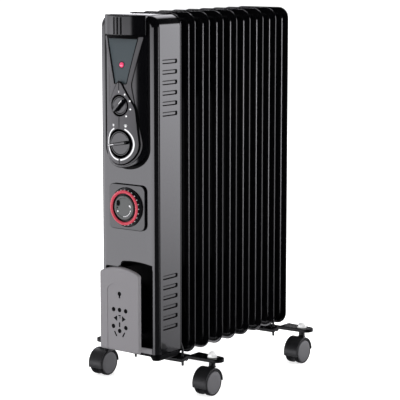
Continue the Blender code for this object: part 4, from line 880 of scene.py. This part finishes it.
# ---------------------------------------------------------------- timer
def timer():
    bezel_low, bezel_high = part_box("timer_bezel")
    half = bezel_high.x
    outline = box_outline(half, TIMER_Z - half, TIMER_Z + half, 10 * MM, 10)
    work = front_plate([outline, circle(0, TIMER_Z, 31.8 * MM, 72)], bezel_low.y, bezel_high.y - bezel_low.y, 0.9 * MM, steps=4)
    show("timer_frame", from_work("bezel", work), GLOSS, "root", ["timer_bezel"])

    seat = high("timer_dial").y
    front, step = seat - low("timer_dial").y, seat - (CONSOLE_FRONT_Y - 5.0 * MM)
    base_r, dial_r, hub_r = high("timer_dial").x, high("timer_segment_ring").x, 20.6 * MM
    profile = soft_profile([(hub_r, 0), (hub_r, front - 2.5 * MM), (23.4 * MM, front - 2.5 * MM), (23.4 * MM, front), (dial_r, front),
                            (dial_r, step), (base_r, step), (base_r, 0)], 0.4 * MM)
    dial = turned(profile[::-1] if profile[0][1] > profile[-1][1] else profile, 96)
    tappets = [moved(dial, facing_front(0, seat, TIMER_Z))]
    marks = []
    count = 48
    for index in range(count):
        angle = TAU * index / count
        tab = flat_plate([box_outline(0.6 * MM, -0.5 * MM, 0.45 * MM, 0.15 * MM, 2)], 1.8 * MM, 0.15 * MM, 1)
        spot = facing_front(0, seat, TIMER_Z) @ Matrix.Rotation(angle, 4, "Z")
        spot = spot @ Matrix.Translation((0, dial_r + 0.4 * MM, front - 1.1 * MM))
        (tappets if index % 2 else marks).append(moved(tab, spot))
    show("timer_dial_body", from_work("dial", merged(*tappets)), MATTE, "timer_dial",
         ["timer_dial"])
    show("timer_hour_tabs", from_work("tabs", merged(*marks)), PRINT, "timer_dial")

    ring_low, ring_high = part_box("timer_segment_ring")
    depth = ring_high.y - ring_low.y
    ring = turned(soft_profile([(26 * MM, depth), (26.6 * MM, depth), (dial_r, depth - 1.5 * MM), (dial_r, 0),
                                (23.5 * MM, 0), (23.5 * MM, depth - 2.0 * MM), (25.4 * MM, depth),
                                (26 * MM, depth)], 0.4 * MM), 96)
    show("timer_red_ring", from_work("ring", moved(ring, facing_front(0, ring_high.y, TIMER_Z))), RED, "timer_dial",
         ["timer_segment_ring"])

    centre_low, centre_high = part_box("timer_centre")
    depth = centre_high.y - centre_low.y
    radius = centre_high.x
    disc = turned(soft_profile([(0, depth - 0.5 * MM), (15.6 * MM, depth - 0.5 * MM), (16.2 * MM, depth), (radius - 0.8 * MM, depth),
                                (radius, depth - 0.8 * MM), (radius, 0), (0, 0)], 0.4 * MM), 80)
    show("timer_centre_disc", from_work("centre", moved(disc, facing_front(0, centre_high.y, TIMER_Z))), GREY,
         "root", ["timer_centre"])
    face = centre_low.y
    centre = (0, TIMER_Z)
    sweep = [ring_arc(centre, 14.0 * MM, 15.2 * MM, a, a + 9, 4) for a in range(-92, -8, 14)]
    arrow = [[(10.4 * MM, TIMER_Z + 3.8 * MM), (14.6 * MM, TIMER_Z + 0.4 * MM), (13.4 * MM, TIMER_Z + 5.6 * MM)],
             circle(-12.2 * MM, TIMER_Z - 6.6 * MM, 1.4 * MM, 20)]
    show("timer_centre_marks", from_work("marks", printed(sweep + arrow, lambda x: face)), PRINT)
    # The override slot and its small hole are printed dark: painted shade.
    window = box_outline(3.4 * MM, -4.8 * MM, 4.8 * MM, 3.3 * MM, 6)
    slot = [[(x - 11.4 * MM, z + TIMER_Z + 6.8 * MM) for x, z in window],
            circle(-13.2 * MM, TIMER_Z - 0.8 * MM, 1.2 * MM, 16)]
    show("timer_override_slot_shade", from_work("slot", printed(slot, lambda x: face)), GROOVE_SHADE)


# ---------------------------------------------------------------- cord storage
def cord_plate():
    """Pillow-edged plate with a sunk field and blind holes; the holes' walls carry the near-black second finish,
    painted shade in the holes.
    """
    plate_low, plate_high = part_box("cord_plate")
    bottom, face_y = plate_low.z, plate_low.y
    outline = arched(plate_high.x, bottom, plate_high.z - 10 * MM, plate_high.z, 4 * MM, 5 * MM)
    plate = cutter_object(front_plate([outline], face_y, 7 * MM, 2.4 * MM, steps=5))
    field = arched(25 * MM, bottom + 1.2 * MM, bottom + 102.5 * MM, bottom + 113.5 * MM, 1.0 * MM, 9 * MM)
    sunk = 0.7 * MM
    tools = [cutter_object(front_plate([field], face_y - 10 * MM, 10 * MM + sunk, 0.0001 * MM, steps=0))]
    # The hole walls take the near-black finish: painted shade inside the holes.
    for hole in plate_holes():
        pin = front_plate([hole], face_y - 10 * MM, 14 * MM, 0.0001 * MM, steps=0)
        tools.append(cutter_object(second_finish(pin, lambda normal: True)))
    for thing in [plate, *tools]:
        thing.data.materials.append(SATIN)
        thing.data.materials.append(GROOVE_SHADE)
    show("cord_plate_moulding", cut(plate, tools), None, "root", ["cord_plate"], split=40)


def plate_holes():
    """Keyhole, seven round holes, two arrowheads and small slots, as outlines in (x, z)."""
    keyhole = arc((0, 0.1695), 3.7 * MM, -65, 245, 20) + [(-1.5 * MM, 0.1622), (1.5 * MM, 0.1622)]
    spots = [(-12.4, 142.7), (0, 142.8), (12.8, 142.4), (-13, 114.7), (13, 114.7), (0, 108.0)]
    holes = [keyhole] + [circle(x * MM, z * MM, 3.7 * MM, 20) for x, z in spots]
    for side in (-1, 1):
        holes.append([(side * 5.0 * MM, 0.1334), (side * 5.0 * MM, 0.1238), (side * 12.8 * MM, 0.1286)])
        slant = [(side * 9.6 * MM, 0.1072), (side * 11.8 * MM, 0.1062), (side * 7.4 * MM, 0.0982),
                 (side * 5.0 * MM, 0.0992)]
        holes.append(slant)
    holes.append(box_outline(1.4 * MM, 0.1146, 0.1222, 0.4 * MM, 2))
    holes.append(box_outline(2.4 * MM, 0.1325, 0.1345, 0.4 * MM, 2))
    holes.append(circle(0.8 * MM, 0.1300, 1.0 * MM, 12))
    return holes


# ---------------------------------------------------------------- feet and casters
BRACKET_RIM = 6 * MM
CRANK_INNER_X = high("fin_5").x + 2 * MM
CRANK_OUTER_X = CRANK_INNER_X + 11 * MM


def bracket(end):
    """Pressed channel bracket that dips under the fins and rises to the casters."""
    node = end + "_foot_bracket"
    box_low, box_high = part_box(node)
    centre_y = (box_low.y + box_high.y) / 2
    reach, width, end_r = box_high.x, (box_high.y - box_low.y) / 2, 12.5 * MM

    def plan(inset):
        tip = arc((reach - end_r, 0), end_r - inset, -80, 80, 16)
        right = [(36 * MM, -(width - inset))] + tip + [(36 * MM, width - inset)]
        return right + [(-x, y) for x, y in reversed(right)]

    outer_z, inner_z = box_high.z, box_high.z - 7.5 * MM

    def lifted(work, top_offset):
        sliced(work, "x", 2.5 * MM, reach)
        for vert in work.verts:
            rise = smooth_step(abs(vert.co.x), CRANK_INNER_X - 1 * MM, CRANK_OUTER_X + 1 * MM)
            vert.co.z += inner_z + (outer_z - inner_z) * rise - top_offset
            vert.co.y += centre_y
        return work

    stems = [circle(side * (reach - 21.2 * MM), 0, 4.4 * MM, 24) for side in (-1, 1)]
    rods = [circle(side * 50 * MM, 0, 2.6 * MM, 16) for side in (-1, 1)]
    top = lifted(flat_plate([plan(0), *stems, *rods], 2 * MM, 0.7 * MM, 3), 1 * MM)
    skirt = lifted(flat_plate([plan(0), plan(1.8 * MM)], BRACKET_RIM, 0.7 * MM, 3), BRACKET_RIM / 2)
    show(end + "_bracket_pressing", from_work(node, merged(top, skirt)), BRACKET_ENAMEL, "root", [node], split=50)


def clamp(end):
    """Bent rod over the header with a wing nut at each end."""
    node = end + "_clamp_rod"
    box_low, box_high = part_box(node)
    y = (box_low.y + box_high.y) / 2
    radius = 2 * MM
    arch_r = COLLAR_R + radius + 0.6 * MM
    x_end = box_high.x - radius
    header_z = HEADER_ZS[0]
    saddle = arc((0, header_z), arch_r, 35, 145, 24)
    leg_top = (x_end, 64 * MM)
    foot = box_low.z
    path = [(x_end, foot), leg_top] + saddle + [(-leg_top[0], leg_top[1]), (-x_end, foot)]
    work = tube([(x, y, z) for x, z in path], radius)
    show(end + "_bent_rod", from_work(node, work), ROD_STEEL, "root", [node])
    for side, sign in (("left", -1), ("right", 1)):
        nut = "%s_%s_wing_nut" % (end, side)
        nut_low, nut_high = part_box(nut)
        hub = turned(soft_profile([(2.3 * MM, 0), (4.8 * MM, 0), (4.4 * MM, -5.4 * MM), (2.3 * MM, -5.4 * MM), (2.3 * MM, 0)], 0.4 * MM), 32)
        wings = []
        for turn in (0, math.pi):
            wing = flat_plate([rounded([(2.5 * MM, -4.6 * MM, 0.5 * MM), (8 * MM, -5.0 * MM, 1.5 * MM), (11.4 * MM, -2.6 * MM, 1.6 * MM),
                                        (10.8 * MM, -0.2 * MM, 1.6 * MM), (8.2 * MM, -0.4 * MM, 1.2 * MM), (2.5 * MM, -1.6 * MM, 0.5 * MM)], 4)],
                              2.4 * MM, 0.8 * MM, 3)
            moved(wing, Matrix.Rotation(turn, 4, "Z") @ Matrix.Rotation(math.pi / 2, 4, "X"))
            wings.append(wing)
        work = merged(hub, *wings)
        moved(work, Matrix.Translation(((nut_low.x + nut_high.x) / 2, (nut_low.y + nut_high.y) / 2, nut_high.z)))
        show(nut + "_forging", from_work(nut, work), ROD_STEEL, "root", [nut])


def caster(end, side):
    """Twin-wheel caster: fender hood with its stem, wheels with capped discs, and the plated dome nut above."""
    name = "%s_%s_caster" % (end, side)
    hood_node, wheels_node = name + "_hood", "%s_%s_wheels" % (end, side)
    wheel_low, wheel_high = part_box(wheels_node)
    axle = (wheel_low + wheel_high) / 2
    wheel_r = (wheel_high.z - wheel_low.z) / 2
    half = (wheel_high.x - wheel_low.x) / 2
    nut_low, nut_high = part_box("%s_%s_dome_nut" % (end, side))
    stem_x, stem_y = (nut_low.x + nut_high.x) / 2, (nut_low.y + nut_high.y) / 2
    sideways = Matrix.Translation(axle) @ Matrix.Rotation(math.pi / 2, 4, "Z") @ Matrix.Rotation(math.pi / 2, 4, "X")

    inner, outer = wheel_r + 0.5 * MM, wheel_r + 2.5 * MM
    fender = arc((0, 0), outer, 0, 196, 40) + arc((0, 0), inner, 196, 0, 40)
    shell = moved(flat_plate([fender], 2 * half, 0.8 * MM, 3), sideways)
    web_outline = arc((0, 0), inner + 1 * MM, 2, 194, 34) + arc((0, 0), 8.5 * MM, 225, 315, 10)
    web = moved(flat_plate([web_outline, circle(0, 0, 3.3 * MM, 24)], 7.8 * MM, 0.4 * MM, 2), sideways)
    plate_under = high(end + "_foot_bracket").z - 2.6 * MM
    stem_top = nut_low.z + 4 * MM
    boss_bottom = axle.z + math.sqrt(outer ** 2 - (stem_y - axle.y - 6.2 * MM) ** 2) - 1.2 * MM
    profile = soft_profile([(0, stem_top), (3.8 * MM, stem_top), (3.8 * MM, plate_under), (6.2 * MM, plate_under),
                            (6.2 * MM, plate_under - 1.6 * MM), (5.2 * MM, plate_under - 2.4 * MM), (5.6 * MM, boss_bottom + 1.4 * MM),
                            (7.2 * MM, boss_bottom), (0, boss_bottom)], 0.5 * MM)
    stem = moved(turned(profile, 40), Matrix.Translation((stem_x, stem_y, 0)))
    show(name + "_fender", from_work(hood_node, merged(shell, web, stem)), CASTER_BLACK, name, [hood_node], split=50)

    gap = 4.5 * MM
    tyre = [(3 * MM, gap), (wheel_r - 1 * MM, gap), (wheel_r, gap + 1 * MM), (wheel_r, half - 1.6 * MM), (wheel_r - 0.7 * MM, half - 0.7 * MM),
            (wheel_r - 2.1 * MM, half - 0.5 * MM), (wheel_r - 2.6 * MM, half - 1.6 * MM), (3 * MM, half - 1.6 * MM)]
    cap = [(wheel_r - 2.9 * MM, half - 1.8 * MM), (wheel_r - 2.9 * MM, half - 0.9 * MM), (wheel_r - 3.6 * MM, half - 0.25 * MM),
           (wheel_r * 0.55, half), (0, half)]
    tyres, caps = [], []
    for sign in (1, -1):
        turn = Matrix.Translation(axle) @ Matrix.Rotation(sign * math.pi / 2, 4, "Y")
        tyres.append(moved(turned(soft_profile(tyre, 0.5 * MM), 72), turn))
        caps.append(moved(turned(soft_profile(cap, 0.5 * MM)[::-1], 72), turn))
    axle_rod = moved(turned([(0, half - 2 * MM), (3 * MM, half - 2 * MM), (3 * MM, 2 * MM - half), (0, 2 * MM - half)], 24),
                     Matrix.Translation(axle) @ Matrix.Rotation(math.pi / 2, 4, "Y"))
    wheel_body = "%s_%s_wheel_pair" % (end, side)
    show(wheels_node + "_tyres", from_work(wheels_node, merged(*tyres, axle_rod)), TREAD, wheel_body, [wheels_node], split=50)
    show(wheels_node + "_caps", from_work("caps", merged(*caps)), CASTER_DISC, wheel_body, split=50)

    nut = "%s_%s_dome_nut" % (end, side)
    across = 7.5 * MM
    base = nut_low.z
    hexagon = flat_plate([circle(0, 0, across, 6)], 4.5 * MM, 0.5 * MM, 3)
    moved(hexagon, Matrix.Translation((stem_x, stem_y, base + 2.25 * MM)))
    rise = nut_high.z - base
    dome_profile = [(max(6.1 * MM * math.cos(math.radians(a)), 0), 3.6 * MM + (rise - 3.6 * MM) * math.sin(math.radians(a)))
                    for a in range(90, -1, -9)] + [(6.1 * MM, 2 * MM), (0, 2 * MM)]
    dome = moved(turned(dome_profile, 48), Matrix.Translation((stem_x, stem_y, base)))
    washer = moved(turned(soft_profile([(4.4 * MM, 0.9 * MM), (8.2 * MM, 0.9 * MM), (8.4 * MM, 0), (4.4 * MM, 0), (4.4 * MM, 0.9 * MM)], 0.2 * MM), 40),
                   Matrix.Translation((stem_x, stem_y, base)))
    show(nut + "_plated", from_work(nut, merged(hexagon, dome, washer)), CHROME, "root", [nut],
         split=40)


# ---------------------------------------------------------------- what stays from the CAD model
def carried_over():
    """Finishes for the CAD nodes that are shown as they are."""
    finishes = {"console_rear_plate": STEEL, "element_flange": STEEL, "heating_element": STEEL, "thermal_cutout": STEEL,
                "terminal_block": GREY, "tip_over_switch": GRIME, "power_switch": GREY, "thermostat": GREY,
                # The cord tray is its own black moulding, kept without shine as painted shade inside the recess.
                "lamp_holder": GREY, "timer_motor": GRIME, "cord_tray": DULL_BLACK_AND_SHADE, "cord_inlet_bush": MATTE}
    for node, finish in finishes.items():
        mesh = frame["nodes"][node].data
        mesh.materials.clear()
        mesh.materials.append(finish)


# ---------------------------------------------------------------- stage, light and camera
def band(tree, value, start, full, fade, end):
    """1 between full and fade, falling smoothly to 0 at start and end."""
    up = tree.nodes.new("ShaderNodeMapRange")
    up.interpolation_type = "SMOOTHSTEP"
    up.inputs["From Min"].default_value = start
    up.inputs["From Max"].default_value = full
    tree.links.new(value, up.inputs["Value"])
    down = tree.nodes.new("ShaderNodeMapRange")
    down.interpolation_type = "SMOOTHSTEP"
    down.inputs["From Min"].default_value = fade
    down.inputs["From Max"].default_value = end
    down.inputs["To Min"].default_value = 1
    down.inputs["To Max"].default_value = 0
    tree.links.new(value, down.inputs["Value"])
    return math_node(tree, "MULTIPLY", up.outputs["Result"], down.outputs["Result"])


def math_node(tree, operation, a, b):
    node = tree.nodes.new("ShaderNodeMath")
    node.operation = operation
    for socket, value in zip(node.inputs, (a, b)):
        if isinstance(value, (int, float)):
            socket.default_value = value
        else:
            tree.links.new(value, socket)
    return node.outputs[0]


# Soft boxes that the gloss reflects: azimuth band, elevation band (degrees), strength.
# Azimuth 0 is -Y and 90 is +X; each band is start, full, fade, end.
SOFT_BOXES = [
    ((-95, -60, 8, 17), (-16, -12.5, -6, 1), 4.8),          # in front
    ((-150, -110, -95, -70), (-60, -40, 10, 30), 0.5),      # far left
    ((97, 100, 105, 108), (-15, -5, 0, 8), 6.5),            # narrow, right
    ((126, 137, 158, 172), (-20, -1, 12, 18), 5.0),         # right, behind
    ((100, 150, 210, 230), (-70, -50, -30, -20), 1.6),      # low, behind
    ((172, 190, 236, 250), (0, 2, 6, 8), 1.7),              # behind, level
    ((172, 190, 236, 250), (20, 26, 55, 70), 2.6),          # behind, high
    ((236, 262, 300, 318), (-20, 0, 30, 50), 0.8),          # left, behind
]


def world():
    """White to the eye and to diffuse light; gloss sees soft boxes on a dark ground."""
    made = bpy.data.worlds.new("studio")
    bpy.context.scene.world = made
    made.use_nodes = True
    tree = made.node_tree
    tree.nodes.clear()
    place = tree.nodes.new("ShaderNodeTexCoord")
    split = tree.nodes.new("ShaderNodeSeparateXYZ")
    tree.links.new(place.outputs["Generated"], split.inputs[0])
    x, y, z = split.outputs
    turn = math_node(tree, "MULTIPLY", math_node(tree, "ARCTAN2", x, math_node(tree, "MULTIPLY", y, -1)), 360 / TAU)
    rise = math_node(tree, "MULTIPLY", math_node(tree, "ARCSINE", z, 0), 360 / TAU)
    total = 0.003
    for azimuths, elevations, strength in SOFT_BOXES:
        centre = (azimuths[0] + azimuths[3]) / 2
        offset = tree.nodes.new("ShaderNodeMath")
        offset.operation = "WRAP"
        tree.links.new(math_node(tree, "SUBTRACT", turn, centre), offset.inputs[0])
        offset.inputs[1].default_value = 180
        offset.inputs[2].default_value = -180
        across = band(tree, offset.outputs[0], *[a - centre for a in azimuths])
        along = band(tree, rise, *elevations)
        box = math_node(tree, "MULTIPLY", math_node(tree, "MULTIPLY", across, along), strength)
        total = math_node(tree, "ADD", total, box)
    tint = tree.nodes.new("ShaderNodeVectorMath")
    tint.operation = "SCALE"
    tint.inputs[0].default_value = (0.985, 0.975, 1.03)
    tree.links.new(total, tint.inputs["Scale"])
    gloss = tree.nodes.new("ShaderNodeBackground")
    tree.links.new(tint.outputs[0], gloss.inputs["Color"])
    even = tree.nodes.new("ShaderNodeBackground")
    even.inputs["Color"].default_value = (1, 1, 1, 1)
    even.inputs["Strength"].default_value = 1.12
    path = tree.nodes.new("ShaderNodeLightPath")
    mixer = tree.nodes.new("ShaderNodeMixShader")
    tree.links.new(path.outputs["Is Glossy Ray"], mixer.inputs["Fac"])
    tree.links.new(even.outputs[0], mixer.inputs[1])
    tree.links.new(gloss.outputs[0], mixer.inputs[2])
    out = tree.nodes.new("ShaderNodeOutputWorld")
    tree.links.new(mixer.outputs[0], out.inputs["Surface"])


def stage():
    """Pale floor."""
    work = bmesh.new()
    bmesh.ops.create_grid(work, x_segments=1, y_segments=1, size=12)
    floor = bpy.data.objects.new("floor", from_work("floor", work))
    bpy.context.scene.collection.objects.link(floor)
    floor.location.z = min(cad_low.z, 0) - 0.2 * MM
    material = grained("pale_floor", (0.93, 0.93, 0.93), 0.9, drift=0.01, cloud=2, grain=60, Specular_IOR_Level=0.0,
                       Emission_Color=(1, 1, 1, 1), Emission_Strength=0.7)
    floor.data.materials.append(material)
    floor.visible_glossy = False


def camera():
    data = bpy.data.cameras.new("camera")
    data.sensor_width = 36
    data.lens = 149.97
    data.clip_start, data.clip_end = 0.1, 60
    obj = bpy.data.objects.new("camera", data)
    bpy.context.scene.collection.objects.link(obj)
    back = Vector((0.59188, -0.79140, 0.15286))
    obj.location = (1.68657, -2.23948, 0.73189)
    obj.rotation_mode = "QUATERNION"
    obj.rotation_quaternion = (-back).to_track_quat("-Z", "Y")
    bpy.context.scene.camera = obj


fins()
header_plugs()
console_shell()
console_bottom()
control_panel()
top_grip()
indicator()
knob("power_knob", "switch_knob", POWER_Z, 15 * MM, low("power_knob").y, math.radians(45))
knob("thermostat_knob", "temperature_knob", THERMOSTAT_Z, 20 * MM, low("thermostat_knob").y, math.radians(190))
timer()
cord_plate()
for foot_end in ("front", "rear"):
    bracket(foot_end)
    clamp(foot_end)
    for foot_side in ("left", "right"):
        caster(foot_end, foot_side)
carried_over()
world()
stage()
camera()
bpy.context.scene.view_settings.view_transform = "Standard"
